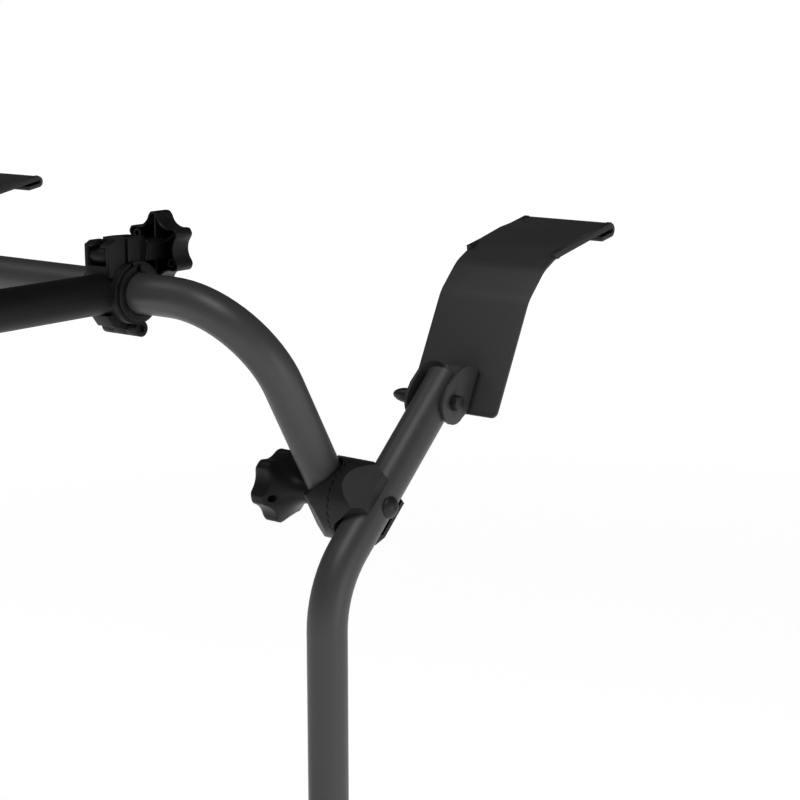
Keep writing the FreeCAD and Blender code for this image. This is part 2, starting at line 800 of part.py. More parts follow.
def door_hook(name, side):
    """Hook plate, its liner and the clevis that carries it."""
    centre = X_DIR * side * size("half_track")
    foot = HOOK_AXIS + TO_PLATE * size("plate_back") - UP_PLATE * size("plate_foot")
    plate = sweep("plate", HOOK_PLATE_STEPS, outline_profile([
        ("0", "0 - plate_width / 2"),
        ("plate_thick", "0 - plate_width / 2"),
        ("plate_thick", "plate_width / 2"),
        ("0", "plate_width / 2"),
    ]))
    plate = cut(plate, plate_corner(1), plate_corner(-1))
    piece("door_hook_plate_" + name, plate, frame(foot + centre, TO_PLATE, UP_PLATE))
    rim = "plate_width / 2 + liner_edge"
    deep = "plate_thick + liner_thick"
    liner = sweep("liner", HOOK_LINER_STEPS, outline_profile([
        ("plate_thick", "0 - ( " + rim + " )"),
        (deep, "0 - ( " + rim + " )"),
        (deep, rim),
        ("plate_thick", rim),
    ]))
    lead = HOOK_PLATE_STEPS[:4] + [("run", ["hook_run_slope"])]
    start, heading = walk(foot, hook_lean, lead)
    ahead = ahead_at(heading)
    inward = inward_at(heading)
    liner.Placement = frame(start + centre, inward, ahead)
    tip, tip_heading = walk(start, heading, HOOK_LINER_STEPS[:5])
    low = start - ahead * size("rail_start_back") - inward * size("rail_lift")
    along = (tip - inward_at(tip_heading) - low).normalize()
    down = Vector(0, along.z, -along.y)
    low = low + along * size("rail_trim")
    rail_length = (tip - low).Length
    rails = []
    for end in (-1, 1):
        rail_x = end * (size("plate_width") + size("rail_out") - size("rail_lap")) / 2
        middle = low + along * rail_length / 2 + down * size("rail_height") / 2 + X_DIR * rail_x
        rails.append(box("rail_out + rail_lap", "rail_height", "%g" % rail_length,
                         frame(middle + centre, X_DIR, along)))
    piece("door_hook_liner_" + name, cut(fuse(liner, *rails), plate))
    channel = sweep("channel", [
        ("run", ["clevis_ear_run"]),
        ("turn", ["clevis_bend"], "90"),
        ("run", ["clevis_web_run"]),
        ("turn", ["clevis_bend"], "90"),
        ("run", ["clevis_ear_run"]),
    ], outline_profile([
        ("0", "0 - 2 * ear_top"),
        ("clevis_sheet", "0 - 2 * ear_top"),
        ("clevis_sheet", "2 * ear_top"),
        ("0", "2 * ear_top"),
    ]))
    outer_half = size("clevis_gap") / 2 + size("clevis_sheet")
    ear_start = size("plate_back") - size("clevis_reach")
    channel.Placement = frame(Vector(ear_start, 0, -outer_half), Vector(0, 0, 1), Vector(1, 0, 0))
    outline = fuse(
        slab([
            ("plate_back + 1", "ear_low"),
            ("plate_back + 1", "ear_top"),
            ("ear_top_back", "ear_top"),
            ("ear_crown_back", "ear_crown_up"),
            ("ear_neck_back", "ear_neck_up"),
            ("0 - ear_shoulder_back", "ear_shoulder_up"),
            ("0 - ear_corner_back", "ear_corner_up"),
            ("ear_centre - ear_radius", "0"),
            ("ear_centre", "0 - ear_sink"),
            ("ear_centre + ear_radius * 0.64", "0 - ear_sink - ear_radius * 0.77"),
        ], "3 * clevis_gap"),
        cylinder("ear_radius", "3 * clevis_gap", place(size("ear_centre"), -size("ear_sink"))),
    )
    clevis = cut(common(channel, outline), cylinder(HOLE, "3 * clevis_gap"))
    piece("hook_clevis_" + name, clevis, frame(HOOK_AXIS + centre, TO_PLATE, X_DIR))
    head_face = size("clevis_gap") / 2 + size("clevis_sheet")
    bolt = fuse(
        hexagon("hex_flats", "hex_height", place(0, 0, head_face)),
        cylinder("bolt_dia / 2", "clevis_gap + 2 * clevis_sheet + 10", place(0, 0, -4)),
    )
    piece("hook_bolt_" + name, bolt, frame(HOOK_AXIS + centre, UP_PLATE, X_DIR * side))
    nut = cut(
        turned([
            ("0", "0"),
            ("cap_nut_radius", "0"),
            ("cap_nut_radius", "cap_nut_length * 0.45"),
            ("cap_nut_radius * 0.95", "cap_nut_length * 0.58"),
            ("cap_nut_radius * 0.8", "cap_nut_length * 0.74"),
            ("cap_nut_radius * 0.52", "cap_nut_length * 0.9"),
            ("cap_nut_radius * 0.25", "cap_nut_length * 0.975"),
            ("0", "cap_nut_length"),
        ]),
        cylinder(HOLE, "22"),
    )
    nut_at = HOOK_AXIS + centre - X_DIR * side * head_face
    piece("hook_cap_nut_" + name, nut, frame(nut_at, UP_PLATE, -X_DIR * side))


def half_ring(outer, inner, width, keep):
    """Part of a ring along X, kept inside one block."""
    flat = place(turn=ALONG_X)
    return common(
        cut(cylinder(outer, width, flat), cylinder(inner, "3 * clamp_width", flat)),
        keep,
    )


def arm_clamp(name, side, centre_x, arm_length):
    """Split clamp that carries one bike arm on the hoop."""
    where = place(centre_x, BAR.y, BAR.z)
    flat = place(turn=ALONG_X)
    bush_out = "tube_dia / 2 + tube_fit + bush_wall"
    bush = cut(
        fuse(
            cylinder(bush_out, "clamp_width + 2 * bush_rim_thick", flat),
            *[cylinder("bush_rim", "bush_rim_thick",
                       place(end * (size("clamp_width") + size("bush_rim_thick")) / 2, 0, 0, ALONG_X))
              for end in (-1, 1)],
        ),
        cylinder(SOCKET, "2 * clamp_width", flat),
        box("2 * clamp_width", "bush_split", "2 * bush_rim",
            place(0, -size("bush_split_back"), size("bush_rim"))),
    )
    piece("clamp_bush_" + name, bush, where)
    bore = bush_out + " + running_gap"
    width = "clamp_width - 2 * running_gap"
    big = size("jaw_radius") * 2
    hinge_y = size("jaw_hinge_forward")
    hinge_z = -size("jaw_hinge_drop")
    gap = size("running_gap")
    stud_z = size("stud_rise")
    nut_y = -size("nut_back")
    tower_z = (size("tower_top") + size("tower_foot")) / 2
    full = size("clamp_width") - 2 * gap
    knuckle = size("jaw_knuckle_half")
    outer_mid = (full / 2 + knuckle) / 2
    pin_hole = cylinder("jaw_pin_dia / 2 + bolt_fit", "2 * clamp_width", place(0, hinge_y, hinge_z, ALONG_X))
    rear_keep = fuse(
        box("3 * jaw_radius", "2 * jaw_radius", "2 * jaw_radius",
            place(0, -size("tower_front_back") - big / 2, big / 2)),
        box("3 * jaw_radius", "2 * jaw_radius", "2 * jaw_radius",
            place(0, hinge_y - 1 - big / 2, -big / 2)),
    )
    shoulder_mid = -(size("arm_seat") + 14) / 2
    rear_body = fuse(
        half_ring("jaw_radius", bore, width, rear_keep),
        slab([
            ("0 - tower_back", "tower_foot"),
            ("0 - tower_front_back", "tower_foot"),
            ("0 - tower_front_back", "tower_sink"),
            ("0 - tower_step_back", "tower_sink"),
            ("0 - tower_step_back", "tower_step_up"),
            ("0 - tower_slope_back", "tower_step_up"),
            ("0 - tower_back", "tower_rear_top"),
        ], "tower_width", place(turn=SIDE_ON)),
        slab([
            ("0 - tab_back", "tower_foot"),
            ("0 - tower_front_back", "tower_foot"),
            ("0 - tower_front_back", "tab_top - tab_corner"),
            ("0 - tower_front_back - tab_corner", "tab_top"),
            ("tab_corner - tab_back", "tab_top"),
            ("0 - tab_back", "tab_top - tab_corner"),
        ], "tower_width / 2", place(side * size("tower_width") / 4, turn=SIDE_ON)),
        cylinder("tube_dia / 2", "arm_seat - 14", place(0, shoulder_mid, 0, ALONG_Y)),
        cylinder("tube_dia / 2 - tube_wall - tube_fit", "spigot_length + 10",
                 place(0, 5 - size("arm_seat") - size("spigot_length") / 2, 0, ALONG_Y)),
        slab([
            ("0 - gusset_reach", "0 - tube_dia / 2 - 0.4"),
            ("0", "0 - tube_dia / 2 - 0.4"),
            ("0", "0 - gusset_drop"),
            ("gusset_slope - gusset_reach", "0 - gusset_rear_drop"),
        ], "gusset_width", place(turn=SIDE_ON)),
        *[cylinder("jaw_lug_radius", "( clamp_width - 2 * running_gap ) / 2 - jaw_knuckle_half",
                   place(end * outer_mid, hinge_y, hinge_z, ALONG_X)) for end in (-1, 1)],
    )
    rear = cut(
        rear_body,
        cylinder(bore, "3 * clamp_width", flat),
        box("nut_length + 2 * running_gap", "nut_dia + 2 * running_gap + tower_back",
            "nut_room",
            place(0, nut_y - size("tower_back") / 2, stud_z)),
        box("stud_slot", "3 * tower_back", "tower_top",
            place(0, 0, stud_z - size("stud_slot") / 2 + size("tower_top") / 2)),
        cylinder("jaw_lug_radius + running_gap", "2 * jaw_knuckle_half",
                 place(0, hinge_y, hinge_z, ALONG_X)),
        pin_hole,
    )
    piece("rear_jaw_" + name, rear, where)
    front_keep = fuse(
        box("3 * jaw_radius", "2 * jaw_radius", "2 * jaw_radius",
            place(0, big / 2 - size("front_plate_back"), big / 2)),
        box("3 * jaw_radius", "2 * jaw_radius", "2 * jaw_radius",
            place(0, hinge_y + big / 2, -big / 2 + 0.01)),
    )
    plate_y = (size("front_plate_step") - size("front_plate_back")) / 2
    boss_z = (size("tower_top") + size("front_boss_foot")) / 2
    crowned = common(
        fuse(
            box("front_plate_width", "front_plate_step + front_plate_back", "tower_top - tower_foot",
                place(0, plate_y, tower_z)),
            slab([
                ("0 - front_plate_width / 2", "front_plate_step"),
                ("front_plate_width / 2", "front_plate_step"),
                ("front_boss_width / 2", "front_plate_to"),
                ("0 - front_boss_width / 2", "front_plate_to"),
            ], "tower_top - front_boss_foot", place(0, 0, boss_z)),
        ),
        cylinder("nut_back + front_plate_to", "3 * clamp_width", place(0, nut_y, stud_z, ALONG_X)),
    )
    front_body = fuse(
        half_ring("jaw_radius", bore, width, front_keep),
        crowned,
        cylinder("jaw_lug_radius", "2 * jaw_knuckle_half - 2 * running_gap",
                 place(0, hinge_y, hinge_z, ALONG_X)),
    )
    clear = [
        cylinder("jaw_lug_radius + running_gap", "clamp_width / 2 - jaw_knuckle_half + 2",
                 place(end * (size("clamp_width") / 2 + knuckle + 2 - 2 * gap) / 2,
                       hinge_y, hinge_z, ALONG_X))
        for end in (-1, 1)
    ]
    front = cut(
        front_body,
        cylinder(bore, "3 * clamp_width", flat),
        box("stud_slot", "3 * tower_back", "tower_top",
            place(0, 0, stud_z - size("stud_slot") / 2 + size("tower_top") / 2)),
        pin_hole,
        *clear,
    )
    piece("front_jaw_" + name, front, where)
    pin = cylinder("jaw_pin_dia / 2", "jaw_pin_length", place(0, hinge_y, hinge_z, ALONG_X))
    piece("jaw_pin_" + name, pin, where)
    hole_y = nut_y - size("stud_tail") - gap + size("nut_dia")
    stud_hole = cylinder(HOLE, "2 * nut_dia", place(0, hole_y, stud_z, ALONG_Y))
    nut = cut(cylinder("nut_dia / 2", "nut_length", place(0, nut_y, stud_z, ALONG_X)), stud_hole)
    piece("barrel_nut_" + name, nut, where)
    knob_y = size("front_plate_to") + size("washer_thick") + 2 * gap
    stud_from = nut_y - size("stud_tail")
    stud_to = knob_y + size("clamp_knob_stem_length") + 6
    stud = cylinder("bolt_dia / 2", "%g + clamp_knob_stem_length + stud_tail + nut_back" % (knob_y + 6),
                    place(0, (stud_from + stud_to) / 2, stud_z, ALONG_Y))
    piece("swing_stud_" + name, stud, where)
    washer_y = size("front_plate_to") + gap + size("washer_thick") / 2
    washer = cut(
        cylinder("washer_dia / 2", "washer_thick", place(0, washer_y, stud_z, ALONG_Y)),
        stud_hole_long(stud_z),
    )
    piece("thrust_washer_" + name, washer, where)
    knob_body = lobed_knob([
        ("0", "0"),
        ("clamp_knob_stem / 2", "0"),
        ("clamp_knob_stem / 2", "clamp_knob_stem_length + clamp_knob_hollow_deep"),
        ("clamp_knob_hollow", "clamp_knob_stem_length + clamp_knob_hollow_deep"),
        ("clamp_knob_hollow + 1", "clamp_knob_stem_length"),
        ("clamp_knob_radius - 1", "clamp_knob_stem_length"),
        ("clamp_knob_radius", "clamp_knob_stem_length + 1.5"),
        ("clamp_knob_radius", "clamp_knob_stem_length + clamp_knob_thick - clamp_knob_edge"),
        ("clamp_knob_radius - clamp_knob_edge", "clamp_knob_stem_length + clamp_knob_thick"),
        ("0", "clamp_knob_stem_length + clamp_knob_thick"),
    ], "clamp_knob_scallop_at", "clamp_knob_scallop", "clamp_knob_stem_length + clamp_knob_thick + 2")
    depth = size("clamp_knob_stem_length") + 8
    block = box("clamp_knob_block", "clamp_knob_block", "clamp_knob_stem_length + clamp_knob_hollow_deep",
                place(0, 0, (size("clamp_knob_stem_length") + size("clamp_knob_hollow_deep")) / 2 + 0.01))
    bore_tool = cylinder(HOLE, "clamp_knob_stem_length + 8", place(0, 0, depth / 2 - 0.01))
    knob_at = Vector(centre_x, BAR.y + knob_y, BAR.z + stud_z)
    knob_x = Vector(-1, 0, 0) if side > 0 else Vector(1, 0, 0)
    knob_body = cut(fuse(knob_body, block), bore_tool)
    piece("clamp_knob_" + name, knob_body, frame(knob_at, knob_x, Vector(0, 1, 0)))
    long_y = -(size("arm_seat") + size(arm_length) / 2)
    arm = straight_tube("tube_dia", "tube_wall", arm_length, place(0, long_y, 0, ALONG_Y))
    piece("bike_arm_" + name, arm, where)
    frame_claw(name, centre_x, size("arm_seat") + size(arm_length))


def stud_hole_long(stud_z):
    """Running hole for the stud along Y."""
    return cylinder(HOLE, "400", place(0, 0, stud_z, ALONG_Y))


def frame_claw(name, centre_x, arm_end):
    """Two part claw that grips a bike's frame at the arm's end."""
    ring_y = -(arm_end + size("claw_offset"))
    where = place(centre_x, BAR.y + ring_y, BAR.z)
    outer = "claw_throat + claw_wall"
    gap = size("running_gap")
    reach = size("claw_throat") + size("claw_wall")
    hinge_z = reach + 4
    big = 3 * reach
    third = size("claw_width") / 3
    knuckles = [cylinder("jaw_lug_radius", "claw_width / 3 - running_gap",
                         place(end * (third + gap / 2), 0, hinge_z, ALONG_X)) for end in (-1, 1)]
    gaps = [cylinder("jaw_lug_radius + running_gap", "claw_width / 3",
                     place(end * third, 0, hinge_z, ALONG_X)) for end in (-1, 1)]
    middle = cylinder("jaw_lug_radius", "claw_width / 3 - running_gap", place(0, 0, hinge_z, ALONG_X))
    middle_gap = cylinder("jaw_lug_radius + running_gap", "claw_width / 3 + running_gap / 2",
                          place(0, 0, hinge_z, ALONG_X))
    ring = cylinder(outer, "claw_width", place(turn=ALONG_X))
    hollow = cylinder("claw_throat", "3 * claw_width", place(turn=ALONG_X))
    sleeve_mid = size("claw_offset") + size("claw_sleeve_length") / 2
    sleeve_out = "tube_dia / 2 + tube_fit + claw_sleeve_wall"
    body = fuse(
        common(cut(ring, hollow), box("200", "%g" % big, "200", place(0, big / 2 + 0.4, 0))),
        cylinder(sleeve_out, "claw_sleeve_length", place(0, sleeve_mid, 0, ALONG_Y)),
        cylinder(sleeve_out, "20", place(0, size("claw_offset") - 10, 0, ALONG_Y)),
        *knuckles,
    )
    fixed = cut(
        body,
        hollow,
        cylinder(SOCKET, "claw_sleeve_length + 2",
                 place(0, sleeve_mid + 1, 0, ALONG_Y)),
        middle_gap,
        cylinder("claw_peg_dia / 2 + bolt_fit", "3 * claw_width", place(0, 0, hinge_z, ALONG_X)),
        box("200", "1.2", "16", place(0, 0, hinge_z - 14.5)),
    )
    piece("claw_body_" + name, fixed, where)
    ring_b = cylinder(outer, "claw_width", place(turn=ALONG_X))
    hollow_b = cylinder("claw_throat", "3 * claw_width", place(turn=ALONG_X))
    moving = fuse(
        cut(
            fuse(
                common(cut(ring_b, hollow_b), box("200", "%g" % big, "200", place(0, -big / 2 - 0.4, 0))),
                middle,
            ),
            *gaps,
            cylinder("claw_throat", "3 * claw_width", place(turn=ALONG_X)),
        ),
        cylinder("claw_peg_dia / 2", "claw_width - 2", place(0, 0, hinge_z, ALONG_X)),
    )
    piece("claw_jaw_" + name, moving, where)


def extra_sizes(entries):
    """Sizes worked out in the sheet itself."""
    first = len(SIZES) + 1
    for offset, (alias, text) in enumerate(entries):
        sheet.set("A%d" % (first + offset), alias)
        sheet.set("B%d" % (first + offset), text)
        sheet.setAlias("B%d" % (first + offset), alias)
        SIZES[alias] = 0.0
    doc.recompute()


def lower_frame():
    """Tees, cross tube, door pads, caps and bottom hooks."""
    tee_z = -size("tee_drop")
    for name, side in SIDES:
        stub = size("tee_reach")
        body = fuse(
            cylinder("tube_dia / 2 + tee_wall", "tee_height"),
            cylinder("tube_dia / 2 + tee_wall", "tee_reach", place(-side * stub / 2, 0, 0, ALONG_X)),
        )
        bar_from = size("tube_dia") / 2 + 1.5
        tee = cut(
            body,
            cylinder(SOCKET, "2 * tee_height"),
            cylinder(SOCKET, "tee_reach", place(-side * (bar_from + stub / 2), 0, 0, ALONG_X)),
        )
        piece("frame_tee_" + name, tee, place(side * size("half_track"), BACK_Y, tee_z))
    cross = straight_tube("tube_dia", "tube_wall", "2 * half_track - tube_dia - 3", place(turn=ALONG_X))
    piece("lower_cross_tube", cross, place(0, BACK_Y, tee_z))
    caps = []
    stems = []
    pads = []
    feet = []
    for name, side in SIDES:
        x = side * size("half_track")
        cap = fuse(
            cylinder("tube_dia / 2", "cap_thick", place(0, 0, -size("cap_thick") / 2)),
            cylinder("tube_dia / 2 - tube_wall - tube_fit", "cap_plug",
                     place(0, 0, size("cap_plug") / 2 - 0.5)),
        )
        cap.Placement = place(x, BACK_Y, TUBE_END_Z)
        caps.append(cap)
        stem = cut(
            fuse(
                cylinder("tube_dia / 2 + tee_wall", "pad_sleeve"),
                cylinder("pad_stem_dia / 2", "pad_stem_reach",
                         place(0, size("pad_stem_reach") / 2, 0, ALONG_Y)),
            ),
            cylinder(SOCKET, "2 * pad_sleeve"),
        )
        stem.Placement = place(x, BACK_Y, -size("pad_drop"))
        stems.append(stem)
        pad = box("pad_width", "pad_depth", "pad_height")
        pad_y = BACK_Y + size("pad_stem_reach") + size("pad_depth") / 2
        pads.append(place_at(pad, x, pad_y, -size("pad_drop")))
        foot = sweep("foot", [
            ("run", ["foot_run_down"]),
            ("turn", ["foot_bend_radius"], "90"),
            ("run", ["foot_run_forward"]),
            ("turn", ["foot_bend_radius"], "90"),
            ("run", ["foot_run_up"]),
        ], outline_profile([
            ("0 - foot_plate", "0 - foot_width / 2"),
            ("0", "0 - foot_width / 2"),
            ("0", "foot_width / 2"),
            ("0 - foot_plate", "foot_width / 2"),
        ]))
        foot_y = BACK_Y + size("tube_dia") / 2 + size("foot_plate")
        foot.Placement = frame(Vector(x, foot_y, -size("foot_start")), Vector(0, 1, 0), Vector(0, 0, -1))
        feet.append(foot)
    piece("upright_end_caps", group(*caps))
    piece("pad_brackets", group(*stems))
    piece("door_pads", group(*pads))
    piece("bottom_hooks", group(*feet))


def place_at(item, x, y, z):
    """Move a centred block to a point."""
    item.Placement = place(x, y, z).multiply(item.Placement)
    return item


def platform():
    """Folding wheel platform on its two lugs."""
    tee_z = -size("tee_drop")
    axis_y = BACK_Y - size("fold_back")
    lugs = []
    forks = []
    bolts = []
    for name, side in SIDES:
        x = side * size("deck_half_track")
        lug = cut(
            fuse(
                cylinder("tube_dia / 2 + tee_wall", "lug_sleeve", place(turn=ALONG_X)),
                box("lug_thick", "fold_back", "2 * lug_radius", place(0, -size("fold_back") / 2, 0)),
                cylinder("lug_radius", "lug_thick", place(0, -size("fold_back"), 0, ALONG_X)),
            ),
            cylinder(SOCKET, "2 * lug_sleeve", place(turn=ALONG_X)),
            cylinder(HOLE, "2 * lug_sleeve", place(0, -size("fold_back"), 0, ALONG_X)),
        )
        lug.Placement = place(x, BACK_Y, tee_z)
        lugs.append(lug)
        ear_x = size("lug_thick") / 2 + size("running_gap") + size("fork_ear") / 2
        reach = size("fork_clear") + size("fork_block")
        ears = []
        for end in (-1, 1):
            ears.append(cylinder("lug_radius", "fork_ear", place(end * ear_x, 0, 0, ALONG_X)))
            ears.append(box("fork_ear", "fork_clear + 2", "2 * lug_radius - 4",
                            place(end * ear_x, -(size("fork_clear") + 2) / 2, 0)))
        fork = cut(
            fuse(
                box("lug_thick + 2 * running_gap + 2 * fork_ear", "fork_block", "2 * lug_radius - 4",
                    place(0, -size("fork_clear") - size("fork_block") / 2, 0)),
                cylinder("deck_dia / 2 - tube_wall - tube_fit", "spigot_length",
                         place(0, -reach - size("spigot_length") / 2 + 1, 0, ALONG_Y)),
                *ears,
            ),
            cylinder(HOLE, "4 * lug_thick", place(turn=ALONG_X)),
        )
        fork.Placement = place(x, axis_y, tee_z)
        forks.append(fork)
        half = size("lug_thick") / 2 + size("running_gap") + size("fork_ear")
        bolt = fuse(
            hexagon("hex_flats", "hex_height", place(0, 0, half)),
            cylinder("bolt_dia / 2", "lug_thick + 2 * running_gap + 2 * fork_ear + hex_height"),
            hexagon("hex_flats", "hex_height", place(0, 0, -half - size("hex_height"))),
        )
        bolt.Placement = frame(Vector(x, axis_y, tee_z), Vector(0, 1, 0), X_DIR * side)
        bolts.append(bolt)
    piece("fold_lugs", group(*lugs))
    piece("platform_forks", group(*forks))
    piece("fold_bolts", group(*bolts))
    deck_front = axis_y - size("fork_clear") - size("fork_block")
    deck = sweep("deck", [
        ("run", ["deck_run"]),
        ("turn", ["deck_bend_radius"], "90"),
        ("run", ["deck_span"]),
        ("turn", ["deck_bend_radius"], "90"),
        ("run", ["deck_run"]),
    ], ring_profile("deck_dia", "tube_wall"))
    corner = Vector(size("deck_half_track"), deck_front, tee_z)
    piece("platform_deck_tube", deck, frame(corner, Vector(-1, 0, 0), Vector(0, -1, 0)))
    base_z = tee_z + size("cradle_rise")
    half = "tray_floor / 2"
    lip = half + " + tray_spread + tray_lip"
    top = "tray_height + tray_wall"
    tray_outline = [
        ("0 - ( " + half + " )", "0"),
        (half, "0"),
        (half + " + tray_spread", "tray_height"),
        (lip, "tray_height"),
        (lip, top),
        (half + " + tray_spread - 1.4", top),
        (half + " - 1.4", "tray_wall"),
        ("0 - ( " + half + " - 1.4 )", "tray_wall"),
        ("0 - ( " + half + " + tray_spread - 1.4 )", top),
        ("0 - ( " + lip + " )", top),
        ("0 - ( " + lip + " )", "tray_height"),
        ("0 - ( " + half + " + tray_spread )", "tray_height"),
    ]
    trim_outline = [
        ("0 - ( " + half + " + trim_over )", "0 - trim_over"),
        (half + " + trim_over", "0 - trim_over"),
        (half + " + tray_spread + trim_over", "tray_height - trim_over"),
        (lip + " + trim_over", "tray_height - trim_over"),
        (lip + " + trim_over", top + " + trim_over"),
        (half + " + tray_spread - 1.4 - trim_over", top + " + trim_over"),
        (half + " - 1.4 - trim_over", "tray_wall + trim_over"),
        ("0 - ( " + half + " - 1.4 - trim_over )", "tray_wall + trim_over"),
        ("0 - ( " + half + " + tray_spread - 1.4 - trim_over )", top + " + trim_over"),
        ("0 - ( " + lip + " + trim_over )", top + " + trim_over"),
        ("0 - ( " + lip + " + trim_over )", "tray_height - trim_over"),
        ("0 - ( " + half + " + tray_spread + trim_over )", "tray_height - trim_over"),
    ]
    cradles = []
    trims = []
    straps = []
    buckles = []
    strap_half = "tray_floor / 2 + tray_spread + tray_lip"
    for row, node in enumerate(("wheel_tray_front", "wheel_tray_rear")):
        y = deck_front - size("tray_first") - row * size("tray_pitch")
        piece(node, slab(tray_outline, "tray_length"), place(0, y, base_z, SIDE_ON))
        for side in (1, -1):
            x = side * size("deck_half_track")
            cradle = cut(
                box("cradle_length", "cradle_width", "cradle_rise - 3",
                    place(0, 0, (size("cradle_rise") + 3) / 2)),
                cylinder("deck_dia / 2 + tube_fit", "2 * cradle_width", place(turn=ALONG_Y)),
            )
            cradle.Placement = place(x, y, tee_z)
            cradles.append(cradle)
            end_x = side * (size("tray_length") + size("trim_thick")) / 2
            trims.append(slab(trim_outline, "trim_thick", place(end_x, y, base_z, SIDE_ON)))
            strap = sweep("strap", [
                ("run", ["strap_side"]),
                ("turn", ["strap_bend"], "90"),
                ("run", ["strap_span"]),
                ("turn", ["strap_bend"], "90"),
                ("run", ["strap_side"]),
            ], outline_profile([
                ("0 - strap_thick", "0 - strap_width / 2"),
                ("0", "0 - strap_width / 2"),
                ("0", "strap_width / 2"),
                ("0 - strap_thick", "strap_width / 2"),
            ]))
            lip_y = size("tray_floor") / 2 + size("tray_spread") + size("tray_lip")
            strap_x = side * size("strap_at")
            strap.Placement = frame(Vector(strap_x, y - lip_y, base_z + size("strap_start")),
                                    Vector(0, 1, 0), Vector(0, 0, 1))
            straps.append(strap)
            buckle_y = y - lip_y - size("strap_thick") / 2
            buckle_z = base_z + size("tray_height") + size("buckle_height") / 2 + 4
            buckle = cut(
                box("buckle_width", "buckle_thick", "buckle_height"),
                box("strap_width", "strap_thick", "2 * buckle_height"),
            )
            buckle.Placement = place(strap_x, buckle_y, buckle_z)
            buckles.append(buckle)
    piece("tray_cradles", group(*cradles))
    piece("tray_end_trims", group(*trims))
    piece("wheel_straps", group(*straps))
    piece("strap_buckles", group(*buckles))


extra_sizes([
    ("hoop_span", "=2 * (half_track - hub_pitch - hoop_bend_radius)"),
    ("hoop_leg_run", "=leg_below_hub + hoop_rise - hoop_bend_radius"),
    ("clevis_ear_run", "=clevis_reach - clevis_bend"),
    ("clevis_web_run", "=clevis_gap + 2 * clevis_sheet - 2 * clevis_bend"),
    ("deck_half_track", "=half_track - tee_reach - lug_sleeve / 2 - lug_gap"),
    ("deck_span", "=2 * (deck_half_track - deck_bend_radius)"),
    ("strap_span", "=tray_floor + 2 * tray_spread + 2 * tray_lip - 2 * strap_bend"),
])
for name, side in SIDES:
    upright("upright_" + name, side)
    hub(name, side)
hoop("hoop_tube")
piece("pivot_bolts", group(*[pivot_bolt(side) for name, side in SIDES]))
piece("hub_saddle_washers", group(*[saddle_washer(side) for name, side in SIDES]))
for name, side in SIDES:
    piece("hub_knob_" + name, *hub_knob(side))
    door_hook(name, side)
arm_clamp("right", 1, size("clamp_x"), "arm_length_right")
arm_clamp("left", -1, -size("clamp_x_left"), "arm_length_left")
lower_frame()
platform()
doc.recompute()

faults = [item.Name for item in doc.Objects if "Invalid" in item.State or "Error" in item.State]
if faults:
    raise RuntimeError("objects that failed: " + " ".join(faults))
os.makedirs("parts", exist_ok=True)
for node, item in pieces:
    shape = item.Shape
    if shape.isNull() or not shape.isValid() or not shape.Solids:
        raise RuntimeError("%s has no sound solid" % node)
    shape.exportStep("parts/%s.step" % node)
print("%d nodes, %d solids" % (len(pieces), sum(len(item.Shape.Solids) for node, item in pieces)))
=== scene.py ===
import json
import logging
import math
from dataclasses import dataclass, field
from enum import Enum

import bmesh
import bpy
from mathutils import Matrix, Vector

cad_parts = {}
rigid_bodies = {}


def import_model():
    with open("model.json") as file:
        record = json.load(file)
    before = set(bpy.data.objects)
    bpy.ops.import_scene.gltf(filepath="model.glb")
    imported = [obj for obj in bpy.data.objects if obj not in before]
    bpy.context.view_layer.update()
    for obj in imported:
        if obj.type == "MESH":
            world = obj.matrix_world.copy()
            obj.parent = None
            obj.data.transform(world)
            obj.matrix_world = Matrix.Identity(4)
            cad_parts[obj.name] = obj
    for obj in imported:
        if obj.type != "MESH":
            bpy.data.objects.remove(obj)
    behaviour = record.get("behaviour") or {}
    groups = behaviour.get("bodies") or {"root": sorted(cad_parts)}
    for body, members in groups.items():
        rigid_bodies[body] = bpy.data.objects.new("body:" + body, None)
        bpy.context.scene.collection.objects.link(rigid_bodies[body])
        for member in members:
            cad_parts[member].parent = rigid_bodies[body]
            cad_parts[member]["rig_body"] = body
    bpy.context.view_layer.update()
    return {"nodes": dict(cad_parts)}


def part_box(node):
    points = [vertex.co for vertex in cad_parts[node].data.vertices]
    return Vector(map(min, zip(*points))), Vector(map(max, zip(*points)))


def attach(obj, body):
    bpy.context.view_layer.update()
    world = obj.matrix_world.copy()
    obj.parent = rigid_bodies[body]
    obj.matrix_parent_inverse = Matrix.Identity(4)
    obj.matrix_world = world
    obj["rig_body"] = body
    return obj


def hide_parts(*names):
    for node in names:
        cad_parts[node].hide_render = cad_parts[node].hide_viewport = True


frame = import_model()
LOG = logging.getLogger("carrier")


class Side(Enum):
    """The two sides of the carrier, as seen from behind the van."""

    RIGHT = "right"
    LEFT = "left"

    @property
    def sign(self) -> float:
        """Direction of the side along X."""
        return 1.0 if self is Side.RIGHT else -1.0


def new_group(name: str, inputs: dict, outputs: dict) -> bpy.types.NodeTree:
    """Empty shader group with named sockets.

    Args:
        name: Name of the group.
        inputs: Socket name to (type, default).
        outputs: Socket name to type.

    Returns:
        The node tree, with a Group Input and a Group Output in it.
    """
    tree = bpy.data.node_groups.new(name, "ShaderNodeTree")
    for label, (kind, value) in inputs.items():
        socket = tree.interface.new_socket(label, in_out="INPUT", socket_type=kind)
        socket.default_value = value
    for label, kind in outputs.items():
        tree.interface.new_socket(label, in_out="OUTPUT", socket_type=kind)
    tree.nodes.new("NodeGroupInput").name = "In"
    tree.nodes.new("NodeGroupOutput").name = "Out"
    return tree


def link(tree: bpy.types.NodeTree, source: bpy.types.NodeSocket, target: bpy.types.NodeSocket) -> None:
    """Join two sockets."""
    tree.links.new(source, target)


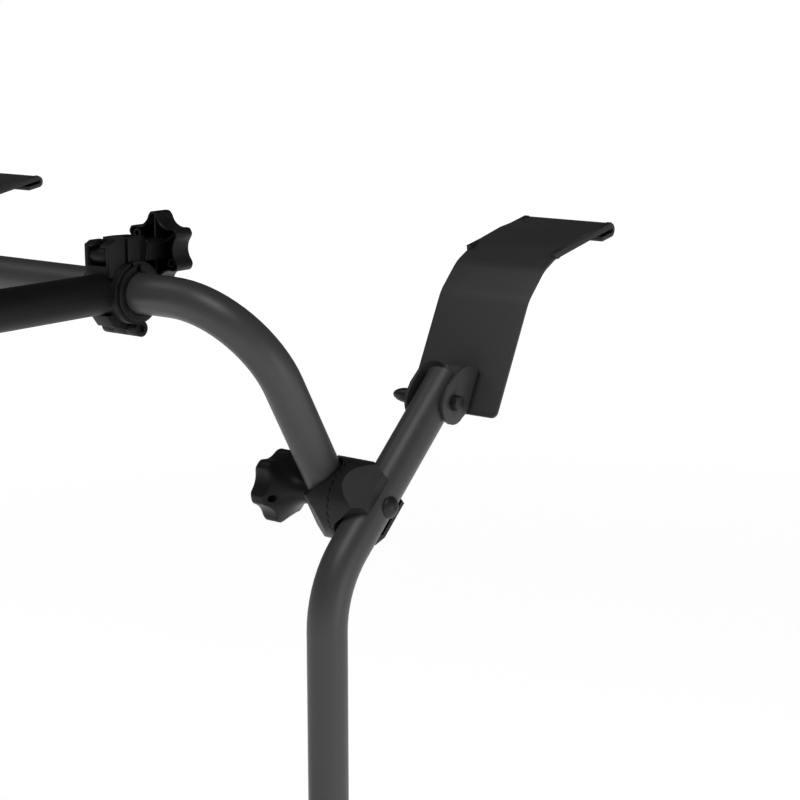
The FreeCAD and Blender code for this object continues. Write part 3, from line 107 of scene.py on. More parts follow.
def math_node(
    tree: bpy.types.NodeTree, kind: str, first: object, second: object
) -> bpy.types.NodeSocket:
    """One Math node.

    Args:
        tree: Tree it goes in.
        kind: Blender's name for the operation.
        first: Socket or number.
        second: Socket or number.

    Returns:
        Its value socket.
    """
    node = tree.nodes.new("ShaderNodeMath")
    node.operation = kind
    for socket, value in zip(node.inputs, (first, second)):
        if isinstance(value, bpy.types.NodeSocket):
            link(tree, value, socket)
        else:
            socket.default_value = value
    return node.outputs[0]


def map_range(
    tree: bpy.types.NodeTree, value: bpy.types.NodeSocket, across: tuple, levels: tuple
) -> bpy.types.NodeSocket:
    """Smooth change from one level to another.

    Args:
        tree: Tree it goes in.
        value: What the change depends on.
        across: Values at which it starts and ends.
        levels: Results at its start and end.

    Returns:
        The result's socket.
    """
    node = tree.nodes.new("ShaderNodeMapRange")
    node.interpolation_type = "SMOOTHSTEP"
    for label, number in zip(("From Min", "From Max", "To Min", "To Max"), (*across, *levels)):
        node.inputs[label].default_value = number
    link(tree, value, node.inputs["Value"])
    return node.outputs["Result"]


def noise(
    tree: bpy.types.NodeTree, vector: bpy.types.NodeSocket, scale: bpy.types.NodeSocket, detail: float
) -> bpy.types.NodeSocket:
    """Noise texture's value from 0 to 1.

    Args:
        tree: Tree it goes in.
        vector: Coordinates.
        scale: Socket of the scale.
        detail: Octaves.

    Returns:
        Its value socket.
    """
    node = tree.nodes.new("ShaderNodeTexNoise")
    node.inputs["Detail"].default_value = detail
    node.inputs["Roughness"].default_value = NOISE_ROUGHNESS
    link(tree, vector, node.inputs["Vector"])
    link(tree, scale, node.inputs["Scale"])
    return node.outputs["Fac"]


NOISE_ROUGHNESS = 0.55
FINE_OCTAVES = 2.0
BROAD_OCTAVES = 4.0
SPECK_SHARE = 0.6


def build_skin_group() -> bpy.types.NodeTree:
    """Group that breaks up a coating's tone, roughness and height.

    Returns:
        The group's node tree.
    """
    tree = new_group(
        "coated_skin",
        {
            "Vector": ("NodeSocketVector", (0.0, 0.0, 0.0)),
            "Tone": ("NodeSocketColor", (0.1, 0.1, 0.1, 1.0)),
            "Fine Scale": ("NodeSocketFloat", 1500.0),
            "Broad Scale": ("NodeSocketFloat", 9.0),
            "Tone Change": ("NodeSocketFloat", 0.08),
            "Roughness": ("NodeSocketFloat", 0.5),
            "Roughness Change": ("NodeSocketFloat", 0.06),
            "Stretch": ("NodeSocketVector", (1.0, 1.0, 1.0)),
        },
        {"Color": "NodeSocketColor", "Roughness": "NodeSocketFloat", "Height": "NodeSocketFloat"},
    )
    given = tree.nodes["In"].outputs
    out = tree.nodes["Out"].inputs
    stretched = tree.nodes.new("ShaderNodeVectorMath")
    stretched.operation = "MULTIPLY"
    link(tree, given["Vector"], stretched.inputs[0])
    link(tree, given["Stretch"], stretched.inputs[1])
    fine = noise(tree, stretched.outputs[0], given["Fine Scale"], FINE_OCTAVES)
    broad = noise(tree, given["Vector"], given["Broad Scale"], BROAD_OCTAVES)
    centred = math_node(tree, "SUBTRACT", broad, 0.5)
    speck = math_node(tree, "SUBTRACT", fine, 0.5)
    both = math_node(tree, "ADD", centred, math_node(tree, "MULTIPLY", speck, SPECK_SHARE))
    gain = math_node(tree, "ADD", math_node(tree, "MULTIPLY", both, given["Tone Change"]), 1.0)
    scaled = tree.nodes.new("ShaderNodeVectorMath")
    scaled.operation = "SCALE"
    link(tree, given["Tone"], scaled.inputs[0])
    link(tree, gain, scaled.inputs["Scale"])
    link(tree, scaled.outputs[0], out["Color"])
    change = math_node(tree, "MULTIPLY", both, given["Roughness Change"])
    link(tree, math_node(tree, "ADD", change, given["Roughness"]), out["Roughness"])
    link(tree, fine, out["Height"])
    return tree


SKIN = build_skin_group()


@dataclass(frozen=True)
class Finish:
    """One finish of the carrier, made into a material once."""

    name: str
    slot: str
    tone: tuple
    roughness: float = 0.5
    metallic: float = 0.0
    specular: float = 0.5
    fine_scale: float = 1500.0
    broad_scale: float = 9.0
    tone_change: float = 0.08
    roughness_change: float = 0.06
    bump_height: float = 0.00002
    stretch: tuple = (1.0, 1.0, 1.0)

    def material(self) -> bpy.types.Material:
        """Make the finish's material at its first use.

        Returns:
            The material.
        """
        made = bpy.data.materials.get(self.name)
        if made:
            return made
        made = bpy.data.materials.new(self.name)
        made.use_nodes = True
        tree = made.node_tree
        shader = tree.nodes["Principled BSDF"]
        shader.inputs["Metallic"].default_value = self.metallic
        shader.inputs["Specular IOR Level"].default_value = self.specular
        place = tree.nodes.new("ShaderNodeTexCoord")
        skin = tree.nodes.new("ShaderNodeGroup")
        skin.node_tree = SKIN
        link(tree, place.outputs["Object"], skin.inputs["Vector"])
        skin.inputs["Tone"].default_value = (*self.tone, 1.0)
        skin.inputs["Fine Scale"].default_value = self.fine_scale
        skin.inputs["Broad Scale"].default_value = self.broad_scale
        skin.inputs["Tone Change"].default_value = self.tone_change
        skin.inputs["Roughness"].default_value = self.roughness
        skin.inputs["Roughness Change"].default_value = self.roughness_change
        skin.inputs["Stretch"].default_value = self.stretch
        link(tree, skin.outputs["Color"], shader.inputs["Base Color"])
        link(tree, skin.outputs["Roughness"], shader.inputs["Roughness"])
        bump = tree.nodes.new("ShaderNodeBump")
        bump.inputs["Strength"].default_value = 1.0
        bump.inputs["Distance"].default_value = self.bump_height
        link(tree, skin.outputs["Height"], bump.inputs["Height"])
        link(tree, bump.outputs["Normal"], shader.inputs["Normal"])
        return made


POWDER = Finish("satin_powder_coat", "frame_powder", (0.05, 0.05, 0.0515), 0.4,
                specular=0.5, fine_scale=1100.0, bump_height=0.00003)
HOOK_PAINT = Finish("hook_powder_coat", "hook_steel", (0.036, 0.036, 0.037), 0.5,
                    fine_scale=1100.0, bump_height=0.00003)
ARM_COAT = Finish("matte_arm_coat", "arm_coat", (0.0045, 0.0045, 0.005), 0.5,
                  specular=0.24, fine_scale=1400.0, bump_height=0.00002)
MOULDED = Finish("moulded_black_plastic", "black_plastic", (0.0105, 0.0105, 0.0112), 0.5,
                 specular=0.33, fine_scale=900.0, bump_height=0.00004)
JAW = Finish("moulded_jaw_plastic", "black_plastic", (0.0055, 0.0055, 0.006), 0.48,
             specular=0.26, fine_scale=900.0, bump_height=0.00004)
KNOB = Finish("moulded_knob_plastic", "knob_plastic", (0.006, 0.0063, 0.0075), 0.42,
              specular=0.27, fine_scale=1000.0, bump_height=0.00003)
LINER = Finish("liner_rubber_skin", "liner_rubber", (0.014, 0.014, 0.014), 0.62,
               fine_scale=700.0, bump_height=0.00005)
STRAP = Finish("strap_rubber_skin", "strap_rubber", (0.02, 0.02, 0.021), 0.6,
               fine_scale=500.0, bump_height=0.00008)
STEEL = Finish("zinc_plated_steel", "fastener_steel", (0.42, 0.42, 0.43), 0.38, metallic=1.0,
               fine_scale=900.0, tone_change=0.2, bump_height=0.00001)
BLACK_BOLT = Finish("blackened_steel", "fastener_steel", (0.013, 0.013, 0.0135), 0.42,
                    specular=0.4, fine_scale=900.0, bump_height=0.00002)
TRAY = Finish("extruded_aluminium", "tray_aluminium", (0.62, 0.63, 0.64), 0.36, metallic=1.0,
              fine_scale=900.0, tone_change=0.14, bump_height=0.00002, stretch=(0.02, 1.0, 1.0))


def finished(mesh: bpy.types.Mesh, angle: float = 32.0) -> bpy.types.Mesh:
    """Shade a mesh smooth with its hard edges kept.

    Args:
        mesh: Mesh to shade.
        angle: Edges sharper than this many degrees stay hard.

    Returns:
        The same mesh.
    """
    mesh.shade_smooth()
    mesh.set_sharp_from_angle(angle=math.radians(angle))
    return mesh


def keep(name: str, mesh: bpy.types.Mesh, finish: Finish, body: str, *nodes: str) -> bpy.types.Object:
    """Turn a mesh into a piece that rides on a body.

    Args:
        name: Name of the piece.
        mesh: Its final mesh, in place.
        finish: Its finish.
        body: CAD body that carries it.
        nodes: CAD nodes that it stands for.

    Returns:
        The piece.
    """
    piece = bpy.data.objects.new(name, mesh)
    bpy.context.scene.collection.objects.link(piece)
    mesh.materials.clear()
    mesh.materials.append(finish.material())
    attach(piece, body)
    if nodes:
        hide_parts(*nodes)
    LOG.info("%s: %d faces on %s", name, len(mesh.polygons), body)
    return piece


def body_of(node: str) -> str:
    """Body that a CAD node belongs to."""
    return frame["nodes"][node]["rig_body"]


def baked(source: bpy.types.Object, name: str) -> bpy.types.Mesh:
    """Mesh of an object with its modifiers applied, the object itself removed.

    Args:
        source: Working object.
        name: Name for the mesh.

    Returns:
        The plain mesh.
    """
    bpy.context.view_layer.update()
    graph = bpy.context.evaluated_depsgraph_get()
    mesh = bpy.data.meshes.new_from_object(source.evaluated_get(graph))
    mesh.name = name
    bpy.data.objects.remove(source)
    return mesh


@dataclass(frozen=True)
class RoundedNode:
    """A CAD node redrawn with its edges broken as moulding or milling leaves them."""

    node: str
    finish: Finish
    radius: float = 0.0005
    smooth: float = 40.0
    segments: int = 2
    limit: float = 28.0

    def make(self) -> bpy.types.Object:
        """Build the rounded copy and let it stand for the node.

        Returns:
            The piece.
        """
        source = frame["nodes"][self.node]
        shape = bmesh.new()
        shape.from_mesh(source.data)
        bmesh.ops.remove_doubles(shape, verts=shape.verts, dist=0.00001)
        bmesh.ops.dissolve_limit(
            shape, angle_limit=math.radians(0.6), verts=shape.verts, edges=shape.edges,
            use_dissolve_boundaries=False, delimit=set(),
        )
        mesh = bpy.data.meshes.new(self.node + "_work")
        shape.to_mesh(mesh)
        shape.free()
        work = bpy.data.objects.new(self.node + "_work", mesh)
        bpy.context.scene.collection.objects.link(work)
        bevel = work.modifiers.new("edges", "BEVEL")
        bevel.width = self.radius
        bevel.segments = self.segments
        bevel.limit_method = "ANGLE"
        bevel.angle_limit = math.radians(self.limit)
        bevel.harden_normals = False
        bevel.use_clamp_overlap = True
        made = self.detailed(baked(work, self.node + "_rounded"))
        finished(made, self.smooth)
        return keep(self.node + "_skin", made, self.finish, body_of(self.node), self.node)


    def detailed(self, mesh: bpy.types.Mesh) -> bpy.types.Mesh:
        """The rounded mesh as it is; kinds with more detail add to it here."""
        return mesh


@dataclass(frozen=True)
class SocketedPin(RoundedNode):
    """A pin along X with a hexagon socket in its right hand end."""

    socket: float = 0.0031
    deep: float = 0.004

    def detailed(self, mesh: bpy.types.Mesh) -> bpy.types.Mesh:
        """Sink the socket into the pin's end.

        Args:
            mesh: Rounded mesh of the pin.

        Returns:
            The mesh with its socket.
        """
        low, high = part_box(self.node)
        end = Vector((high.x, (low.y + high.y) / 2.0, (low.z + high.z) / 2.0))
        place = axes(end, Vector((0.0, 0.0, 1.0)), Vector((1.0, 0.0, 0.0)))
        return drilled(mesh, [pin(place, self.socket, -self.deep, 0.002, 6)])


@dataclass
class TubeFrame:
    """The steel tubes, which keep their CAD shapes."""

    tubes: tuple = (
        "upright_right", "upright_left", "hoop_tube", "lower_cross_tube", "platform_deck_tube",
    )
    arms: tuple = ("bike_arm_right", "bike_arm_left")

    def dress(self) -> None:
        """Give each tube its coating."""
        for names, finish in ((self.tubes, POWDER), (self.arms, ARM_COAT)):
            for name in names:
                node = frame["nodes"][name]
                node.data.materials.clear()
                node.data.materials.append(finish.material())
                LOG.info("%s keeps its CAD shape", name)


BEHIND_LEFT = (-0.55, 0.83)


@dataclass(frozen=True)
class Lamp:
    """One round soft lamp aimed at the carrier."""

    name: str
    where: tuple
    size: float
    power: float


def behind_left(tree: bpy.types.NodeTree, vector: bpy.types.NodeSocket) -> bpy.types.NodeSocket:
    """How far a direction or a place lies behind the carrier and to its left.

    Args:
        tree: Tree it goes in.
        vector: The direction or place.

    Returns:
        The distance's socket.
    """
    split = tree.nodes.new("ShaderNodeSeparateXYZ")
    link(tree, vector, split.inputs[0])
    return math_node(tree, "ADD", math_node(tree, "MULTIPLY", split.outputs["Y"], BEHIND_LEFT[1]),
                     math_node(tree, "MULTIPLY", split.outputs["X"], BEHIND_LEFT[0]))


@dataclass
class Studio:
    """Camera, lamps, world and floor."""

    camera_at: tuple = (1.3571, -1.4950, 0.2140)
    looking: tuple = (-0.5925, 0.7778, -0.2096)
    lens: float = 83.7
    aim: tuple = (0.0, -0.35, -0.3)
    floor_z: float = -1.02
    floor_radius: float = 14.0
    floor_tone: tuple = (0.86, 0.86, 0.86, 1.0)
    floor_roughness: float = 0.9
    floor_glow: float = 0.74
    floor_fade: float = 0.62
    fade_across: tuple = (0.3, 4.5)
    floor_seen: tuple = (0.8, 0.96)
    seen_across: tuple = (1.0, 6.0)
    rear_shade: float = 0.7
    sky: tuple = ((-1.0, 0.5), (0.0, 0.42), (0.3, 0.16), (1.0, 0.06))
    side_glow: float = 0.3
    lamps: tuple = (
        Lamp("overhead", (0.75, -1.55, 2.6), 1.7, 26.0),
        Lamp("overhead_left", (-1.69, -1.21, 2.4), 1.6, 8.0),
        Lamp("right", (3.4, -0.2, -0.1), 1.8, 9.0),
    )

    def build(self) -> None:
        """Set up everything that isn't part of the carrier."""
        scene = bpy.context.scene
        scene.view_settings.view_transform = "Standard"
        camera_data = bpy.data.cameras.new("camera")
        camera_data.lens = self.lens
        camera_data.sensor_width = 36.0
        camera = bpy.data.objects.new("camera", camera_data)
        scene.collection.objects.link(camera)
        camera.location = self.camera_at
        camera.rotation_euler = Vector(self.looking).to_track_quat("-Z", "Y").to_euler()
        scene.camera = camera
        self.world(scene)
        self.hang_lamps(scene)
        self.floor(scene)

    def world(self, scene: bpy.types.Scene) -> None:
        """Surroundings that are white to the camera and dark overhead to the carrier.

        Args:
            scene: Scene they belong to.
        """
        world = bpy.data.worlds.new("studio")
        scene.world = world
        world.use_nodes = True
        tree = world.node_tree
        background = tree.nodes["Background"]
        background.inputs["Color"].default_value = (1.0, 1.0, 1.0, 1.0)
        place = tree.nodes.new("ShaderNodeTexCoord")
        split = tree.nodes.new("ShaderNodeSeparateXYZ")
        link(tree, place.outputs["Generated"], split.inputs[0])
        ramp = tree.nodes.new("ShaderNodeFloatCurve")
        curve = ramp.mapping.curves[0]
        for point, (height, glow) in zip(curve.points, (self.sky[0], self.sky[-1])):
            point.location = ((height + 1.0) / 2.0, glow)
        for height, glow in self.sky[1:-1]:
            curve.points.new((height + 1.0) / 2.0, glow)
        ramp.mapping.update()
        half = math_node(tree, "MULTIPLY", split.outputs["Z"], 0.5)
        link(tree, math_node(tree, "ADD", half, 0.5), ramp.inputs["Value"])
        right = math_node(tree, "MAXIMUM", split.outputs["X"], 0.0)
        level = math_node(tree, "ABSOLUTE", split.outputs["Z"], 0.0)
        flat = math_node(tree, "SUBTRACT", 1.0, level)
        side = math_node(tree, "MULTIPLY", math_node(tree, "MULTIPLY", right, flat), self.side_glow)
        behind = math_node(tree, "MAXIMUM", behind_left(tree, place.outputs["Generated"]), 0.0)
        shade = math_node(tree, "MULTIPLY", behind, self.rear_shade)
        lit = math_node(tree, "MULTIPLY", math_node(tree, "ADD", ramp.outputs[0], side),
                        math_node(tree, "SUBTRACT", 1.0, shade))
        rays = tree.nodes.new("ShaderNodeLightPath")
        seen = rays.outputs["Is Camera Ray"]
        unseen = math_node(tree, "SUBTRACT", 1.0, seen)
        strength = math_node(tree, "ADD", math_node(tree, "MULTIPLY", lit, unseen), seen)
        link(tree, strength, background.inputs["Strength"])

    def hang_lamps(self, scene: bpy.types.Scene) -> None:
        """Hang the broad soft lamps round the carrier.

        Args:
            scene: Scene they belong to.
        """
        for lamp in self.lamps:
            data = bpy.data.lights.new(lamp.name, "AREA")
            data.shape = "DISK"
            data.size = lamp.size
            data.energy = lamp.power
            holder = bpy.data.objects.new(lamp.name, data)
            scene.collection.objects.link(holder)
            holder.location = lamp.where
            toward = Vector(self.aim) - Vector(lamp.where)
            holder.rotation_euler = toward.to_track_quat("-Z", "Y").to_euler()

    def floor_material(self) -> bpy.types.Material:
        """Pale material that is white to the camera and lights the carrier from below.

        Returns:
            The material.
        """
        made = bpy.data.materials.new("pale_floor")
        made.use_nodes = True
        tree = made.node_tree
        shader = tree.nodes["Principled BSDF"]
        shader.inputs["Base Color"].default_value = self.floor_tone
        shader.inputs["Roughness"].default_value = self.floor_roughness
        shader.inputs["Emission Color"].default_value = (1.0, 1.0, 1.0, 1.0)
        rays = tree.nodes.new("ShaderNodeLightPath")
        place = tree.nodes.new("ShaderNodeTexCoord")
        away = behind_left(tree, place.outputs["Object"])
        far_glow = self.floor_glow * (1.0 - self.floor_fade)
        glow = map_range(tree, away, self.fade_across, (self.floor_glow, far_glow))
        length = tree.nodes.new("ShaderNodeVectorMath")
        length.operation = "LENGTH"
        link(tree, place.outputs["Object"], length.inputs[0])
        white = map_range(tree, length.outputs["Value"], self.seen_across, self.floor_seen)
        seen = rays.outputs["Is Camera Ray"]
        unseen = math_node(tree, "SUBTRACT", 1.0, seen)
        strength = math_node(tree, "ADD", math_node(tree, "MULTIPLY", seen, white),
                             math_node(tree, "MULTIPLY", unseen, glow))
        link(tree, strength, shader.inputs["Emission Strength"])
        return made

    def floor(self, scene: bpy.types.Scene) -> None:
        """Pale floor that keeps the carrier's shadow.

        Args:
            scene: Scene it belongs to.
        """
        shape = bmesh.new()
        bmesh.ops.create_circle(shape, cap_ends=True, radius=self.floor_radius, segments=64)
        mesh = bpy.data.meshes.new("floor")
        shape.to_mesh(mesh)
        shape.free()
        floor = bpy.data.objects.new("floor", mesh)
        scene.collection.objects.link(floor)
        floor.location = (0.0, 0.0, self.floor_z)
        mesh.materials.append(self.floor_material())


KNOB_SMOOTH = 36.0


@dataclass(frozen=True)
class LobePlan:
    """Outline of a six lobed handle seen along its axis."""

    radius: float
    scallop_at: float
    scallop: float
    soft: float = 0.12
    soft_steps: int = 9
    lobes: int = 6

    def reach(self, angle: float) -> float:
        """Radius of the outline at one angle.

        Args:
            angle: Angle from the middle of a scallop, in radians.

        Returns:
            Distance of the outline from the axis.
        """
        step = 2.0 * math.pi / self.lobes
        off = (angle + step / 2.0) % step - step / 2.0
        aside = self.scallop_at * math.sin(off)
        if abs(aside) >= self.scallop:
            return self.radius
        hollow = self.scallop_at * math.cos(off) - math.sqrt(self.scallop ** 2 - aside ** 2)
        return min(self.radius, hollow)

    def softened(self, angle: float) -> float:
        """The same radius with the lobes' corners rounded over a small arc.

        Args:
            angle: Angle from the middle of a scallop, in radians.

        Returns:
            The softened radius.
        """
        last = self.soft_steps - 1
        turns = [angle + self.soft * (index / last - 0.5) for index in range(self.soft_steps)]
        return sum(self.reach(turn) for turn in turns) / self.soft_steps


def loft(rings: list) -> bpy.types.Mesh:
    """Skin a list of equal closed rings and fan both ends shut.

    Args:
        rings: Lists of points, all of one length.

    Returns:
        The mesh, with outward faces.
    """
    shape = bmesh.new()
    made = [[shape.verts.new(point) for point in ring] for ring in rings]
    count = len(rings[0])
    for low, high in zip(made, made[1:]):
        for index in range(count):
            after = (index + 1) % count
            shape.faces.new((low[index], low[after], high[after], high[index]))
    for ring in (made[0], made[-1]):
        middle = shape.verts.new(sum((vert.co for vert in ring), Vector()) / count)
        for index in range(count):
            shape.faces.new((ring[index], ring[(index + 1) % count], middle))
    bmesh.ops.remove_doubles(shape, verts=shape.verts, dist=0.000001)
    bmesh.ops.recalc_face_normals(shape, faces=shape.faces)
    mesh = bpy.data.meshes.new("loft")
    shape.to_mesh(mesh)
    shape.free()
    return mesh


def axes(origin: Vector, x_dir: Vector, z_dir: Vector) -> Matrix:
    """Matrix whose own X and Z run along two given directions.

    Args:
        origin: Where its own origin is.
        x_dir: Direction near which its X runs.
        z_dir: Direction of its Z.

    Returns:
        The matrix.
    """
    z_axis = Vector(z_dir).normalized()
    y_axis = z_axis.cross(Vector(x_dir)).normalized()
    x_axis = y_axis.cross(z_axis)
    turn = Matrix((x_axis, y_axis, z_axis)).transposed().to_4x4()
    return Matrix.Translation(origin) @ turn


def blended(first: float, second: float, soft: float) -> float:
    """Smaller of two radii with the corner between them rounded."""
    low, high = min(first, second), max(first, second)
    return low - soft * math.log(1.0 + math.exp((low - high) / soft))


def drilled(mesh: bpy.types.Mesh, cutters: list) -> bpy.types.Mesh:
    """Cut blind holes into a closed mesh.

    Args:
        mesh: Closed mesh in place.
        cutters: Closed meshes that mark the holes.

    Returns:
        The cut mesh.
    """
    shape = bmesh.new()
    for cutter in cutters:
        shape.from_mesh(cutter)
        bpy.data.meshes.remove(cutter)
    tools = bpy.data.meshes.new("drill")
    shape.to_mesh(tools)
    shape.free()
    drill = bpy.data.objects.new("drill", tools)
    work = bpy.data.objects.new("drilled", mesh)
    for item in (drill, work):
        bpy.context.scene.collection.objects.link(item)
    cut = work.modifiers.new("holes", "BOOLEAN")
    cut.operation = "DIFFERENCE"
    cut.solver = "EXACT"
    cut.object = drill
    made = baked(work, mesh.name + "_drilled")
    bpy.data.objects.remove(drill)
    return made


def round_ring(matrix: Matrix, radius: float, height: float, around: int) -> list:
    """Points of a regular ring round a matrix's own Z."""
    turns = [2.0 * math.pi * index / around for index in range(around)]
    return [matrix @ Vector((radius * math.cos(turn), radius * math.sin(turn), height)) for turn in turns]


def pin(matrix: Matrix, radius: float, low: float, high: float, around: int = 40) -> bpy.types.Mesh:
    """Round pin, or one with few sides, along a matrix's own Z."""
    return loft([round_ring(matrix, radius, height, around) for height in (low, high)])


@dataclass
class HubKnob:
    """Long handle that locks one hinge hub."""

    side: Side
    hub: Vector = field(default_factory=lambda: Vector((0.0, -0.275, -0.2105)))
    lean: Vector = field(default_factory=lambda: Vector((0.0, 0.7455, 0.6665)))
    plan: LobePlan = LobePlan(0.033, 0.0526, 0.0255)
    length: float = 0.0506
    neck: float = 0.011
    neck_run: float = 0.003
    flare: float = 0.031
    flare_steps: int = 22
    flare_power: float = 2.3
    rim_over: float = 0.0006
    rim_at: tuple = (0.0355, 0.040)
    rim_round: tuple = ((0.0046, 0.0), (0.0036, 0.0004), (0.0024, 0.0014), (0.0012, 0.0028),
                        (0.0003, 0.0046), (0.0, 0.0075))
    dish: tuple = ((0.0, 0.0165), (0.0008, 0.0160), (0.0008, 0.004))
    face_zone: float = 0.005
    inset_share: float = 0.55
    blend: float = 0.0007
    seat_x: float = 0.3336
    screw_turn: float = 210.0
    screw_at: float = 0.0255
    screw: float = 0.0034
    screw_span: tuple = (0.015, 0.0365)
    around: int = 216

    def radius_at(self, height: float) -> float:
        """Radius of the trumpet at one height above its seat."""
        share = min(max((height - self.neck_run) / self.flare, 0.0), 1.0)
        return self.neck + (self.plan.radius + self.rim_over - self.neck) * share ** self.flare_power

    def stops(self) -> list:
        """Heights and radii of the handle's rings, from its seat to its face.

        Returns:
            Pairs of height and radius.
        """
        top = self.length
        rim = self.plan.radius + self.rim_over
        made = [(0.0, self.neck - 0.0008), (0.0006, self.neck)]
        for step in range(self.flare_steps + 1):
            height = self.neck_run + self.flare * step / self.flare_steps
            made.append((height, self.radius_at(height)))
        made += [(height, rim) for height in self.rim_at]
        made += [(top - drop, rim - inset) for drop, inset in self.rim_round]
        return made + [(top - drop, radius) for drop, radius in self.dish]

    def build(self) -> None:
        """Make the handle and let it stand for its node."""
        sign = self.side.sign
        start = axes(self.hub + Vector((sign * self.seat_x, 0.0, 0.0)), self.lean,
                     Vector((-sign, 0.0, 0.0)))
        rim = self.plan.radius + self.rim_over
        rings = []
        for height, radius in self.stops():
            inset = rim - radius if height > self.length - self.face_zone else 0.0
            ring = []
            for index in range(self.around):
                angle = 2.0 * math.pi * index / self.around
                lobe = self.plan.softened(angle) - inset * self.inset_share
                far = blended(radius, lobe, self.blend)
                ring.append(start @ Vector((far * math.cos(angle), far * math.sin(angle), height)))
            rings.append(ring)
        turn = Matrix.Rotation(math.radians(self.screw_turn), 4, "Z")
        hole = start @ turn @ Matrix.Translation((self.screw_at, 0.0, 0.0))
        mesh = drilled(loft(rings), [pin(hole, self.screw, *self.screw_span)])
        node = "hub_knob_" + self.side.value
        keep("hub_knob_grip_" + self.side.value, finished(mesh, KNOB_SMOOTH), KNOB, node, node)


